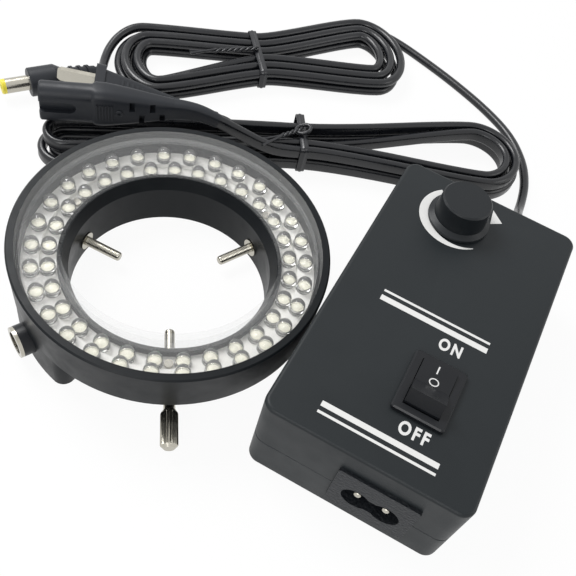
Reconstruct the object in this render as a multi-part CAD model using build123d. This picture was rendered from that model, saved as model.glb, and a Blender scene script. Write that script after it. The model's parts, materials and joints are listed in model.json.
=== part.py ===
from build123d import *
import os
from math import sin, cos, tan, radians, sqrt, acos, hypot

# A ring light for a microscope, its dimmer box and its two cords.
# Millimetres. The origin is on the ring's axis at table height, +Z up.
# The box stands beside the ring with its long side along Y.

# Common clearances
fit_gap = 0.05
play = 0.3
overrun = 1.0
contact_share = 0.5

# Ring housing
ring_r = 48.0
ring_top = 27.1
rim_width = 2.4
wall_draft = 0.6
tray_under = 12.3
tray_floor = 1.5
collar_r = 37.0
bore_r = 31.0
bore_from = 8.5
bore_length = 6.0
bore_relief = 0.4
mouth_r = 32.7
inner_wall_top = 18.6
inner_wall_r = 34.2
cover_ledge = 1.0
board_ledge = 1.0
board_raise = 0.8
rim_round = 0.5

# Clear cover
cover_thickness = 2.0
cover_skirt = 1.0
cover_outer_drop = 4.8
cover_bore_r = 33.05
cover_nub_width = 1.8
cover_nub_depth = 0.8
cover_nub_height = 3.5
nub_azimuth = 301.5

# Lamps and what carries them
lamp_board_thickness = 1.0
carrier_base = 0.8
carrier_step = 1.8
carrier_step_r = 39.3
lamp_r = 2.3
lamp_flange_r = 2.45
lamp_flange = 0.8
lamp_height = 4.8
lamp_leg = 0.5
lamp_leg_pitch = 2.54
lamp_hole_r = 1.75
outer_row_r = 41.6
outer_row_count = 30
outer_row_start = 6.0
inner_row_r = 36.8
inner_row_count = 29
inner_row_start = 294.5
resistor_length = 3.2
resistor_width = 1.6
resistor_height = 0.55
resistor_count = 10
resistor_row_r = 39.4
carrier_screw_r = 0.8
carrier_screw_head_r = 1.3
carrier_screw_head = 0.9
carrier_screw_bite = 1.1

# Power jack of the ring
jack_azimuth = 241.5
jack_z = 7.4
jack_r = 4.8
jack_face_r = 51.2
jack_back_r = 41.2
jack_hole_r = 3.0
jack_hole_depth = 8.6
jack_ring_width = 1.4
jack_ring_thickness = 1.0
jack_ring_recess = 0.2
jack_pin_r = 1.05
jack_pin_length = 7.6
boss_r = 47.2
boss_from = 219.0
boss_to = 262.0
boss_corner = 3.5
wire_r = 0.5
wire_spread = 0.9
wire_hole_r = 1.9
wire_hole_at_r = 39.6
wire_bend = 0.9

# Thumbscrews
screw_azimuths = {"front": 302.0, "left": 182.0, "back": 62.0}
screw_z = 5.0
screw_r = 1.5
screw_tip_r = 18.4
screw_tip_round = 0.7
screw_shank_length = 31.4
neck_r = 1.75
neck_from_r = 43.9
neck_length = 1.7
head_r = 2.6
head_length = 11.7
head_shoulder = 1.1
head_end_round = 1.0
flute_count = 20
flute_depth = 0.28
bush_r = 2.3
bush_flange_r = 3.0
bush_flange = 0.7
bush_seat_gap = 0.05

# Dimmer box
box_width = 60.2
box_length = 108.3
box_height = 32.8
ring_box_gap = 0.8
box_centre_y = 16.95
box_corner = 4.0
box_edge = 1.2
box_wall = 2.2
seam_z = 14.0
seam_groove = 0.3
post_r = 3.6
post_inset_x = 5.6
post_inset_y = 6.6
case_screw_r = 1.25
case_screw_hole_r = 1.6
case_screw_head_r = 2.75
case_screw_head = 2.0
case_screw_sink = 6.0
case_screw_sink_r = 3.1
case_screw_length = 16.0
pad_r = 4.5
pad_thickness = 1.0
pad_sink = 0.6
pad_inset_x = 14.0
pad_inset_y = 12.0

# Rocker switch
switch_x = 86.1
switch_y = -9.2
flange_width = 15.6
flange_length = 20.6
flange_height = 1.7
flange_round = 1.0
switch_body_width = 13.0
switch_body_length = 19.0
switch_body_depth = 12.3
rocker_width = 10.2
rocker_slot_play = 0.2
rocker_slot_length = 16.1
rocker_pivot_up = 0.2
rocker_slot_floor = 5.8
rocker_reach = 7.0
rocker_rise = 2.55
rocker_centre_up = 2.0
rocker_round_r = 7.6
rocker_skirt = 3.2
rocker_tilt = 15.0
rocker_bow_angle = 12.0
pivot_r = 1.1
pivot_length = 0.9
terminal_width = 4.8
terminal_thickness = 0.8
terminal_length = 6.0
terminal_pitch = 7.0

# Dimmer knob and its control
knob_x = 71.8
knob_y = 55.0
knob_r = 8.1
knob_foot_r = 8.5
knob_skirt_r = 10.1
knob_top = 42.5
knob_under_gap = 0.5
knob_skirt = 0.9
knob_bevel = 1.0
knob_edge = 0.5
knob_hollow_r = 6.6
knob_hollow = 3.6
knob_hole_depth = 4.2
shaft_r = 3.0
bush_thread_r = 3.5
bush_height = 3.0
control_r = 8.4
control_height = 8.0
control_pins = 3
control_pin_pitch = 5.0
control_pin_width = 1.2
control_pin_length = 5.0
control_pin_thickness = 0.6
nut_across = 10.0
nut_height = 1.8
washer_r = 5.8
washer_height = 0.5

# Mains inlet
inlet_x = 86.3
inlet_z = 13.4
inlet_plate_width = 23.8
inlet_plate_low = 5.0
inlet_plate_top = 24.3
inlet_plate_proud = 1.0
inlet_body_width = 20.8
inlet_body_height = 15.4
inlet_body_depth = 15.0
inlet_lobe_r = 4.3
inlet_pitch = 8.6
inlet_waist = 6.0
inlet_recess = 13.0
inlet_pin_r = 1.2
inlet_pin_length = 12.0
inlet_tail = 5.0
inlet_tail_r = 0.8

# Circuit board of the box
board_side_gap = 2.9
board_length = 66.0
board_thickness = 1.6
board_centre_y = 27.4
board_post = 4.0
board_post_r = 3.0
board_post_inset = 4.0
board_screw_r = 1.2
board_screw_head_r = 2.2
board_screw_head = 1.5
board_screw_length = 5.0
transformer_width = 18.0
transformer_length = 20.0
transformer_height = 15.0
transformer_core = 6.0
transformer_x = 62.0
transformer_y = 26.0
capacitor_list = [(92.0, 22.0, 5.0, 14.0), (98.0, 42.0, 4.0, 11.5), (84.0, 40.0, 3.2, 9.0)]
fuse_x = 92.0
fuse_y = 6.0
fuse_r = 2.6
fuse_length = 18.0
fuse_cap = 4.5
fuse_clip = 0.6
fuse_raise = 1.0
sink_x = 66.0
sink_y = 8.0
sink_fins = 5
sink_width = 18.0
sink_thickness = 3.0
sink_height = 16.0
transistor_width = 10.0
transistor_thickness = 4.4
transistor_height = 9.0
transistor_up = 4.0
transistor_leg = 0.8

# Inner wires of the box
mains_wire_r = 0.9
mains_wire_bend = 2.0

# Cord gland on the back wall
gland_x = 91.0
gland_z = 14.0
gland_r = 3.2
gland_flange_r = 4.4
gland_flange = 1.5
gland_nose = 8.0
gland_inside = 3.0

# Low-voltage cord
dc_r = 1.75
dc_floor_gap = 0.85
dc_layer = 4.15
dc_hank = {
    "centre": (-29.0, 118.3),
    "azimuth": 39.7,
    "step": 4.6,
    "waist": 12.4,
    "waist_centre": -1.3,
    "flat": 5.0,
    "right": {"shoulder": 44.0, "half": 21.8, "tip": 61.5, "centre": 0.5},
    "left": {"shoulder": 44.0, "half": 19.85, "tip": 60.2, "centre": -2.85},
}
cord_arc_share = 0.45
dc_lead_in = 7.0
dc_lead_route = [
    (91.0, 95.0, 9.6), (91.1, 102.5, 4.0), (91.0, 111.5, 1.75),
    (89.4, 121.8, 1.75), (85.0, 133.4, 1.75), (75.5, 145.6, 1.75), (61.0, 154.6, 1.75), (43.8, 161.9, 1.75),
    (28.3, 167.0, 1.75), (14.0, 170.8, 1.9), (4.2, 171.4, 2.3),
]
dc_tail_route = [(-57.4, 13.7, 5.3), (-62.0, 7.7, 3.7), (-64.5, 1.0, 3.0)]

# Low-voltage plug
dc_plug_face = (-91.6, 47.7, 5.4)
dc_plug_azimuth = 53.0
dc_plug_rise = 0.0
dc_plug_r = 5.3
dc_plug_body = 13.0
dc_plug_relief = 12.5
dc_relief_azimuth = 66.0
dc_relief_drop = 10.0
dc_tail_lead_in = 3.5
dc_relief_r = 3.4
dc_relief_end_r = 2.3
dc_barrel_r = 2.75
dc_barrel_length = 8.5
dc_barrel_hole_r = 1.05
dc_tip_length = 1.6
dc_tip_sleeve_r = 2.2
relief_ribs = 4
relief_rib = 0.5

# Mains cord, a flat twin lead on its edge
twin_thickness = 3.0
twin_height = 5.2
twin_floor_gap = 0.85
twin_layer = 5.7
mains_hank = {
    "centre": (1.6, 81.4),
    "azimuth": 32.4,
    "step": 3.85,
    "waist": 7.0,
    "waist_centre": -3.0,
    "flat": 15.0,
    "right": {"shoulder": 72.0, "half": 17.0, "tip": 90.5, "centre": -4.7},
    "left": {"shoulder": 80.3, "half": 9.5, "tip": 90.5, "centre": -8.4},
}
connector_lead_in = 6.5
connector_lead_route = [(-30.4, -9.3, 17.4), (-25.2, -11.6, 12.9)]
hank_lead_in = 5.2
wall_plug_lead_in = 3.2

# Small two-pole connector on the mains lead
connector_length = 45.5
connector_end = (-44.0, -3.8, 20.2)
connector_nose = 18.0
connector_nose_height = 15.0
connector_nose_thickness = 8.0
connector_grip = 6.0
connector_grip_height = 15.6
connector_grip_thickness = 9.0
connector_share = 0.8
connector_contact_r = 1.5
connector_contact_hole_r = 1.2
connector_contact_length = 10.0
connector_slots = 2
connector_slot = 2.2
connector_slot_depth = 0.9
connector_tail_height = 7.2
connector_tail_thickness = 4.9

# Wall plug on the mains lead
wall_plug_face = (-67.1, 53.2, 9.3)
wall_plug_azimuth = 29.1
wall_plug_drop = 7.1
wall_plug_roll = 12.0
wall_plug_width = 23.0
wall_plug_height = 11.5
wall_plug_flange = 3.5
wall_plug_body = 31.6
wall_plug_neck_width = 9.0
wall_plug_neck_height = 8.0
wall_plug_relief = 15.0
wall_plug_relief_width = 4.2
wall_plug_relief_height = 6.2
blade_pitch = 12.7
blade_thickness = 1.5
blade_height = 6.3
blade_length = 13.5
blade_root = 5.0
blade_corner = 1.2

# Twist ties
tie_thickness = 0.7
tie_width = 3.0
tie_gap = 0.12
tie_corner = 1.6
tie_tail_r = 0.9
dc_tie_s = -3.0
mains_tie_s = 4.0
dc_tie_tail_end = (-31.4, -2.5)
mains_tie_tail_end = (-12.2, -10.5)

# Sampling of the wound cords when their least gap is measured
sample_step = 2.0
neighbour_reach = 16.0
parallel_share = 0.0001

tray_top = tray_under + tray_floor
board_under = tray_top + board_raise
carrier_under = board_under + lamp_board_thickness
inner_bed = carrier_under + carrier_base
outer_bed = inner_bed + carrier_step
cover_under = ring_top - cover_thickness
cover_seat = ring_top - cover_outer_drop
rim_inner_r = ring_r - rim_width
head_from_r = neck_from_r + neck_length
box_centre_x = ring_r + ring_box_gap + box_width / 2
board_width = box_width - 2 * (box_wall + board_side_gap)
wall_inner_r = rim_inner_r - cover_ledge
box_top_inner = box_height - box_wall
box_back_y = box_centre_y + box_length / 2
box_front_y = box_centre_y - box_length / 2


def polar(radius, azimuth, height):
    """A point at a radius and azimuth round the ring's axis."""
    return Vector(radius * cos(radians(azimuth)), radius * sin(radians(azimuth)), height)


def outward_plane(radius, azimuth, height):
    """A plane that faces away from the ring's axis."""
    return Plane(origin=polar(radius, azimuth, height), x_dir=(0, 0, 1), z_dir=polar(1, azimuth, 0))


def turned(outline):
    """A body of revolution about Z from (radius, height) points."""
    edges = Polyline(*[(r, z) for r, z in outline], close=True)
    return revolve(Plane.XZ * make_face(edges), Axis.Z)


def bar(x0, x1, y0, y1, z0, z1):
    """A block between two corners."""
    block = Box(x1 - x0, y1 - y0, z1 - z0)
    return Pos((x0 + x1) / 2, (y0 + y1) / 2, (z0 + z1) / 2) * block


def rod(x, y, z, radius, height):
    """An upright cylinder that stands on height z."""
    return Pos(x, y, z) * Cylinder(radius, height, align=(Align.CENTER, Align.CENTER, Align.MIN))


def on_plane(plane, radius, length):
    """A cylinder that starts on a plane and runs along its normal."""
    return plane * Cylinder(radius, length, align=(Align.CENTER, Align.CENTER, Align.MIN))


def around(count, start, shape):
    """Copies of a shape at even steps round Z, the first turned by start degrees."""
    return [Rot(0, 0, start + 360 * k / count) * shape for k in range(count)]


def solids_of(shapes):
    """One compound of the solids in a list of shapes."""
    return Compound(children=[solid for shape in shapes for solid in shape.solids()])


def bent_wire(points, radius, bend):
    """A round wire through points, with one bend radius."""
    path = FilletPolyline(*points, radius=bend)
    return sweep(Plane(origin=path @ 0, z_dir=path % 0) * Circle(radius), path=path)


# Ring head

def screw_mid_azimuths():
    """The gaps of the inner lamp row that lie nearest to the thumbscrews."""
    step = 360 / inner_row_count
    places = []
    for azimuth in screw_azimuths.values():
        places.append(inner_row_start + step * (round((azimuth - inner_row_start) / step - 1 / 2) + 1 / 2))
    return places


def boss():
    """The raised block under the tray that holds the power jack."""
    span = boss_to - boss_from
    reach = boss_r * 2
    wedge = Polyline((0, 0), (reach, 0), (reach * cos(radians(span)), reach * sin(radians(span))), close=True)
    plan = make_face(wedge) & (Circle(boss_r) - Circle(collar_r - overrun))
    block = extrude(plan, amount=tray_under + tray_floor * contact_share)
    corners = [e for e in block.edges().filter_by(Axis.Z) if hypot(e.center().X, e.center().Y) > boss_r - overrun]
    return Rot(0, 0, boss_from) * fillet(corners, boss_corner)


def ring_housing():
    body = turned([
        (ring_r - wall_draft, tray_under),
        (ring_r, ring_top - rim_round),
        (ring_r - rim_round, ring_top),
        (rim_inner_r, ring_top),
        (rim_inner_r, cover_seat),
        (wall_inner_r, cover_seat),
        (wall_inner_r, board_under),
        (wall_inner_r - board_ledge, board_under),
        (wall_inner_r - board_ledge, tray_top),
        (inner_wall_r + board_ledge, tray_top),
        (inner_wall_r + board_ledge, board_under),
        (inner_wall_r, board_under),
        (inner_wall_r, inner_wall_top),
        (mouth_r, inner_wall_top),
        (bore_r, bore_from + bore_length),
        (bore_r, bore_from),
        (bore_r + bore_relief, bore_from),
        (bore_r + bore_relief, 0),
        (collar_r, 0),
        (collar_r, tray_under),
    ])
    body += boss()
    for azimuth in screw_azimuths.values():
        body -= on_plane(outward_plane(bore_r - overrun, azimuth, screw_z), bush_r + fit_gap, collar_r - bore_r + 2 * overrun)
    jack_hole_from = wire_hole_at_r - wire_hole_r
    body -= on_plane(outward_plane(jack_hole_from, jack_azimuth, jack_z), jack_r + fit_gap, ring_r - jack_hole_from)
    wire_foot = polar(wire_hole_at_r, jack_azimuth, jack_z)
    body -= rod(wire_foot.X, wire_foot.Y, jack_z, wire_hole_r, tray_top + overrun - jack_z)
    for azimuth in screw_mid_azimuths():
        foot = polar(inner_row_r, azimuth, 0)
        body -= rod(foot.X, foot.Y, tray_top - carrier_screw_bite, carrier_screw_r + fit_gap, tray_floor + board_raise)
    return body


def clear_cover():
    skirt_r = rim_inner_r - fit_gap
    body = turned([
        (cover_bore_r, inner_wall_top),
        (cover_bore_r, ring_top),
        (skirt_r, ring_top),
        (skirt_r, cover_seat),
        (skirt_r - cover_skirt, cover_seat),
        (skirt_r - cover_skirt, cover_under),
        (cover_bore_r + cover_skirt, cover_under),
        (cover_bore_r + cover_skirt, inner_wall_top),
    ])
    nub_r = cover_bore_r + cover_skirt
    nub = bar(
        nub_r - cover_skirt * contact_share, nub_r + cover_nub_depth,
        -cover_nub_width / 2, cover_nub_width / 2,
        cover_under - cover_nub_height, cover_under + cover_thickness * contact_share,
    )
    return body + Rot(0, 0, nub_azimuth) * nub


def lamp_board():
    body = turned([
        (inner_wall_r + fit_gap, board_under),
        (wall_inner_r - fit_gap, board_under),
        (wall_inner_r - fit_gap, carrier_under),
        (inner_wall_r + fit_gap, carrier_under),
    ])
    for azimuth in screw_mid_azimuths():
        foot = polar(inner_row_r, azimuth, 0)
        body -= rod(foot.X, foot.Y, board_under - overrun, carrier_screw_r + fit_gap, lamp_board_thickness + 2 * overrun)
    return body


def lamp_carrier():
    body = turned([
        (inner_wall_r + fit_gap, carrier_under),
        (wall_inner_r - fit_gap, carrier_under),
        (wall_inner_r - fit_gap, outer_bed),
        (carrier_step_r, outer_bed),
        (carrier_step_r, inner_bed),
        (inner_wall_r + fit_gap, inner_bed),
    ])
    hole_height = outer_bed - carrier_under + 2 * overrun
    for row_r, count, start in ((outer_row_r, outer_row_count, outer_row_start), (inner_row_r, inner_row_count, inner_row_start)):
        body -= around(count, start, rod(row_r, 0, carrier_under - overrun, lamp_hole_r, hole_height))
    for azimuth in screw_mid_azimuths():
        foot = polar(inner_row_r, azimuth, 0)
        body -= rod(foot.X, foot.Y, carrier_under - overrun, carrier_screw_r + fit_gap, hole_height)
    return body


def lamp(row_r, bed):
    """One round lamp with its flange on the bed and two legs down to the board."""
    dome_from = bed + lamp_height - lamp_r
    dome_mid = (lamp_r * cos(radians(45)), dome_from + lamp_r * sin(radians(45)))
    outline = Polyline(
        (0, bed + lamp_height), (0, bed), (lamp_flange_r, bed), (lamp_flange_r, bed + lamp_flange),
        (lamp_r, bed + lamp_flange), (lamp_r, dome_from),
    )
    dome = ThreePointArc((lamp_r, dome_from), dome_mid, (0, bed + lamp_height))
    body = revolve(Plane.XZ * make_face(outline + dome), Axis.Z)
    for side in (-1, 1):
        y = side * lamp_leg_pitch / 2
        body += bar(-lamp_leg / 2, lamp_leg / 2, y - lamp_leg / 2, y + lamp_leg / 2, carrier_under, bed + lamp_flange * contact_share)
    return Pos(row_r, 0, 0) * body


def lamps_outer():
    return solids_of(around(outer_row_count, outer_row_start, lamp(outer_row_r, outer_bed)))


def lamps_inner():
    return solids_of(around(inner_row_count, inner_row_start, lamp(inner_row_r, inner_bed)))


def lamp_resistors():
    one = Pos(resistor_row_r, 0, board_under - resistor_height / 2) * Box(resistor_width, resistor_length, resistor_height)
    return solids_of(around(resistor_count, jack_azimuth + 180 / resistor_count, one))


def carrier_screws():
    screws = []
    for azimuth in screw_mid_azimuths():
        foot = polar(inner_row_r, azimuth, 0)
        shank_low = tray_top - carrier_screw_bite
        screws.append(
            rod(foot.X, foot.Y, inner_bed, carrier_screw_head_r, carrier_screw_head)
            + rod(foot.X, foot.Y, shank_low, carrier_screw_r, inner_bed - shank_low)
        )
    return solids_of(screws)


def jack_body():
    start = outward_plane(jack_back_r, jack_azimuth, jack_z)
    face_at = jack_face_r - jack_ring_recess
    body = on_plane(start, jack_r, face_at - jack_back_r)
    mouth = outward_plane(face_at - jack_hole_depth, jack_azimuth, jack_z)
    body -= on_plane(mouth, jack_hole_r, jack_hole_depth + overrun)
    seat = outward_plane(face_at - jack_ring_thickness + jack_ring_recess, jack_azimuth, jack_z)
    body -= on_plane(seat, jack_r + overrun, overrun + jack_ring_thickness)
    return body


def jack_ring():
    seat = outward_plane(jack_face_r - jack_ring_thickness, jack_azimuth, jack_z)
    return on_plane(seat, jack_r, jack_ring_thickness) - on_plane(seat, jack_r - jack_ring_width, jack_ring_thickness)


def jack_pin():
    face_at = jack_face_r - jack_ring_recess
    start = outward_plane(face_at - jack_hole_depth, jack_azimuth, jack_z)
    pin = on_plane(start, jack_pin_r, jack_pin_length)
    rims = pin.edges().filter_by(GeomType.CIRCLE)
    return chamfer(rims.sort_by_distance(polar(jack_face_r, jack_azimuth, jack_z))[0], jack_pin_r * 2 / 5)


def jack_wires():
    wires = []
    for side in (-1, 1):
        shift = polar(side * wire_spread, jack_azimuth + 90, 0)
        back = polar(jack_back_r, jack_azimuth, jack_z) + shift
        corner = polar(wire_hole_at_r, jack_azimuth, jack_z) + shift
        wires.append(bent_wire([back, corner, Vector(corner.X, corner.Y, board_under)], wire_r, wire_bend))
    return solids_of(wires)


def screw_bushes():
    bushes = []
    for azimuth in screw_azimuths.values():
        face_r = bore_r + bore_relief
        start = outward_plane(face_r - bush_flange, azimuth, screw_z)
        body = on_plane(start, bush_r, collar_r - face_r + bush_flange)
        flange = on_plane(start, bush_flange_r, bush_flange + overrun)
        wall = rod(0, 0, 0, face_r - bush_seat_gap, ring_top)
        bushes.append(body + (flange & wall) - on_plane(start, screw_r + fit_gap, ring_r))
    return solids_of(bushes)


def thumbscrew_shank(azimuth):
    start = outward_plane(screw_tip_r, azimuth, screw_z)
    shank = on_plane(start, screw_r, screw_shank_length)
    return fillet(shank.edges().filter_by(GeomType.CIRCLE).sort_by_distance(start.origin)[0], screw_tip_round)


def thumbscrew_head(azimuth):
    """The knurled head and its neck, bored for the shank."""
    shoulder_r = neck_r + (head_r - neck_r) / 3
    profile = turned([
        (0, 0),
        (neck_r, 0),
        (neck_r, head_from_r - neck_from_r),
        (shoulder_r, head_from_r - neck_from_r),
        (head_r, head_from_r - neck_from_r + head_shoulder),
        (head_r, head_from_r - neck_from_r + head_length - head_end_round),
        (head_r - head_end_round, head_from_r - neck_from_r + head_length),
        (0, head_from_r - neck_from_r + head_length),
    ])
    star = []
    for k in range(2 * flute_count):
        radius = head_r if k % 2 == 0 else head_r - flute_depth
        star.append((radius * cos(radians(180 * k / flute_count)), radius * sin(radians(180 * k / flute_count))))
    flutes = extrude(make_face(Polyline(*star, close=True)), amount=head_from_r - neck_from_r + head_length)
    bore_depth = screw_tip_r + screw_shank_length + fit_gap - neck_from_r
    body = (profile & flutes) - rod(0, 0, 0, screw_r + fit_gap, bore_depth)
    return outward_plane(neck_from_r, azimuth, screw_z) * body


# Dimmer box

def post_places():
    """The four screw posts of the case, as (x, y)."""
    across = box_width / 2 - post_inset_x
    along = box_length / 2 - post_inset_y
    return [(box_centre_x + i * across, box_centre_y + j * along) for i in (-1, 1) for j in (-1, 1)]


def case_block(low, high, inset):
    """A block with the plan of the box, drawn in by an inset."""
    corner = box_corner - inset * contact_share
    plan = RectangleRounded(box_width - 2 * inset, box_length - 2 * inset, corner)
    return Pos(box_centre_x, box_centre_y, low) * extrude(plan, amount=high - low)


def wall_openings():
    """The inlet's hole in the front wall and the gland's hole in the back wall."""
    width = inlet_body_width + 2 * fit_gap
    height = inlet_body_height + 2 * fit_gap
    inlet = Pos(inlet_x, box_front_y, inlet_z) * Box(width, 4 * box_wall, height)
    gland_plane = Plane(origin=(gland_x, box_back_y - 2 * box_wall, gland_z), z_dir=(0, 1, 0))
    return inlet + on_plane(gland_plane, gland_r + fit_gap, 4 * box_wall)


def top_case():
    shell = case_block(seam_z, box_height, 0)
    shell = fillet(shell.edges().group_by(Axis.Z)[-1], box_edge)
    shell = chamfer(shell.edges().group_by(Axis.Z)[0], seam_groove)
    shell -= case_block(seam_z - overrun, box_top_inner, box_wall)
    for x, y in post_places():
        shell += rod(x, y, seam_z, post_r, box_top_inner - seam_z + box_wall * contact_share)
    hole_depth = case_screw_sink + case_screw_length + overrun - seam_z
    for x, y in post_places():
        shell -= rod(x, y, seam_z - overrun, case_screw_r + fit_gap, hole_depth + overrun)
    shell -= wall_openings()
    cut_width = switch_body_width + 2 * fit_gap
    cut_length = switch_body_length + 2 * fit_gap
    shell -= Pos(switch_x, switch_y, box_height) * Box(cut_width, cut_length, 4 * box_wall)
    shell -= rod(knob_x, knob_y, box_top_inner - overrun, bush_thread_r + fit_gap, box_wall + 2 * overrun)
    return shell


def board_post_places():
    """The four posts of the circuit board, as (x, y)."""
    across = board_width / 2 - board_post_inset
    along = board_length / 2 - board_post_inset
    return [(box_centre_x + i * across, board_centre_y + j * along) for i in (-1, 1) for j in (-1, 1)]


def pad_places():
    """The four rubber pads under the box, as (x, y)."""
    across = box_width / 2 - pad_inset_x
    along = box_length / 2 - pad_inset_y
    return [(box_centre_x + i * across, box_centre_y + j * along) for i in (-1, 1) for j in (-1, 1)]


case_foot_z = pad_thickness - pad_sink
board_top = case_foot_z + box_wall + board_post + board_thickness


def bottom_case():
    shell = case_block(case_foot_z, seam_z, 0)
    shell = chamfer(shell.edges().group_by(Axis.Z)[-1], seam_groove)
    shell = fillet(shell.edges().group_by(Axis.Z)[0], box_edge * contact_share)
    shell -= case_block(case_foot_z + box_wall, seam_z + overrun, box_wall)
    for x, y in post_places():
        shell += rod(x, y, case_foot_z + box_wall * contact_share, post_r, seam_z - case_foot_z - box_wall * contact_share)
    for x, y in post_places():
        shell -= rod(x, y, case_foot_z - overrun, case_screw_hole_r, seam_z + 2 * overrun)
        shell -= rod(x, y, case_foot_z - overrun, case_screw_sink_r, case_screw_sink - case_foot_z + overrun)
    for x, y in board_post_places():
        shell += rod(x, y, case_foot_z + box_wall * contact_share, board_post_r, board_post + box_wall * contact_share)
        shell -= rod(x, y, case_foot_z + box_wall, board_screw_r + fit_gap, board_post + overrun)
    for x, y in pad_places():
        shell -= rod(x, y, case_foot_z - overrun, pad_r + fit_gap, pad_sink + overrun)
    return shell - wall_openings()


def case_screws():
    screws = []
    for x, y in post_places():
        head_low = case_screw_sink - case_screw_head
        screws.append(
            rod(x, y, head_low, case_screw_head_r, case_screw_head)
            + rod(x, y, case_screw_sink - overrun, case_screw_r, case_screw_length + overrun)
        )
    return solids_of(screws)


def case_pads():
    return solids_of([rod(x, y, 0, pad_r, pad_thickness) for x, y in pad_places()])


# Rocker switch

rocker_pivot_z = box_height + rocker_pivot_up
switch_face_z = box_height + flange_height


def switch_frame():
    plate = Pos(switch_x, switch_y, box_height) * extrude(RectangleRounded(flange_width, flange_length, flange_round), amount=flange_height)
    plate = chamfer(plate.edges().group_by(Axis.Z)[-1], flange_height / 4)
    body = bar(
        switch_x - switch_body_width / 2, switch_x + switch_body_width / 2,
        switch_y - switch_body_length / 2, switch_y + switch_body_length / 2,
        box_height - switch_body_depth, box_height + flange_height * contact_share,
    )
    slot_half = rocker_width / 2 + rocker_slot_play
    slot = bar(
        switch_x - slot_half, switch_x + slot_half,
        switch_y - rocker_slot_length / 2, switch_y + rocker_slot_length / 2,
        rocker_pivot_z - rocker_slot_floor, switch_face_z + overrun,
    )
    pivot_half = rocker_width / 2 + pivot_length
    pivot_plane = Plane(origin=(switch_x - pivot_half - fit_gap, switch_y, rocker_pivot_z), z_dir=(1, 0, 0))
    return plate + body - slot - on_plane(pivot_plane, pivot_r + fit_gap, 2 * (pivot_half + fit_gap))


def switch_rocker():
    """The rocker at rest, tipped to its on side, with its two pivot stubs."""
    skirt_y = sqrt(rocker_round_r ** 2 - rocker_skirt ** 2)
    bow = (rocker_round_r * cos(radians(rocker_bow_angle)), -rocker_round_r * sin(radians(rocker_bow_angle)))
    top = Polyline(
        (rocker_round_r, 0), (rocker_reach, rocker_centre_up + rocker_rise), (0, rocker_centre_up),
        (-rocker_reach, rocker_centre_up + rocker_rise), (-rocker_round_r, 0),
    )
    right = ThreePointArc((rocker_round_r, 0), bow, (skirt_y, -rocker_skirt))
    base = Line((skirt_y, -rocker_skirt), (-skirt_y, -rocker_skirt))
    left = ThreePointArc((-skirt_y, -rocker_skirt), (-bow[0], bow[1]), (-rocker_round_r, 0))
    side = Plane(origin=(-rocker_width / 2, 0, 0), x_dir=(0, 1, 0), z_dir=(1, 0, 0))
    body = extrude(side * make_face(top + right + base + left), amount=rocker_width)
    pivot_half = rocker_width / 2 + pivot_length
    body += on_plane(Plane(origin=(-pivot_half, 0, 0), z_dir=(1, 0, 0)), pivot_r, 2 * pivot_half)
    return Pos(switch_x, switch_y, rocker_pivot_z) * Rot(-rocker_tilt, 0, 0) * body


def switch_terminals():
    low = box_height - switch_body_depth - terminal_length
    tabs = []
    for side in (-1, 1):
        y = switch_y + side * terminal_pitch / 2
        tabs.append(bar(
            switch_x - terminal_width / 2, switch_x + terminal_width / 2,
            y - terminal_thickness / 2, y + terminal_thickness / 2, low, low + terminal_length,
        ))
    return solids_of(tabs)


# Dimmer knob and its control

knob_low = box_height + knob_under_gap
shaft_top = knob_low + knob_hollow + knob_hole_depth


def dimmer_knob():
    return Pos(knob_x, knob_y, 0) * turned([
        (shaft_r, knob_low + knob_hollow),
        (knob_hollow_r, knob_low + knob_hollow),
        (knob_hollow_r, knob_low),
        (knob_skirt_r, knob_low),
        (knob_skirt_r, knob_low + knob_skirt),
        (knob_foot_r, knob_low + knob_skirt + knob_bevel),
        (knob_r, knob_top - knob_edge),
        (knob_r - knob_edge, knob_top),
        (0, knob_top),
        (0, shaft_top),
        (shaft_r, shaft_top),
    ])


def dimmer_shaft():
    low = box_top_inner - fit_gap
    return rod(knob_x, knob_y, low, shaft_r, shaft_top - low)


def dimmer_control():
    """The round body under the wall with its bush through the wall."""
    body = rod(knob_x, knob_y, box_top_inner - control_height, control_r, control_height)
    body += rod(knob_x, knob_y, box_top_inner - overrun, bush_thread_r, box_wall + bush_height + overrun)
    body -= rod(knob_x, knob_y, box_top_inner - 2 * fit_gap, shaft_r + fit_gap, box_wall + bush_height + overrun)
    for k in range(control_pins):
        x = knob_x + (k - (control_pins - 1) / 2) * control_pin_pitch
        y = knob_y - control_r * 2 / 3
        z = box_top_inner - control_height
        body += bar(
            x - control_pin_width / 2, x + control_pin_width / 2,
            y, y + control_pin_thickness, z - control_pin_length, z + overrun,
        )
    return body


def dimmer_nut():
    washer = rod(knob_x, knob_y, box_height, washer_r, washer_height)
    hexagon = RegularPolygon(nut_across / 2, 6, major_radius=False)
    nut = Pos(knob_x, knob_y, box_height + washer_height) * extrude(hexagon, amount=nut_height)
    return washer + nut - rod(knob_x, knob_y, box_height - overrun, bush_thread_r + fit_gap, bush_height + 2 * overrun)


# Mains inlet

def figure_eight(radius, pitch, waist):
    """Two circles side by side, joined by a waist."""
    return Pos(-pitch / 2, 0) * Circle(radius) + Pos(pitch / 2, 0) * Circle(radius) + Rectangle(pitch, waist)


def inlet_plane(y):
    return Plane(origin=(inlet_x, y, inlet_z), x_dir=(1, 0, 0), z_dir=(0, -1, 0))


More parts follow.
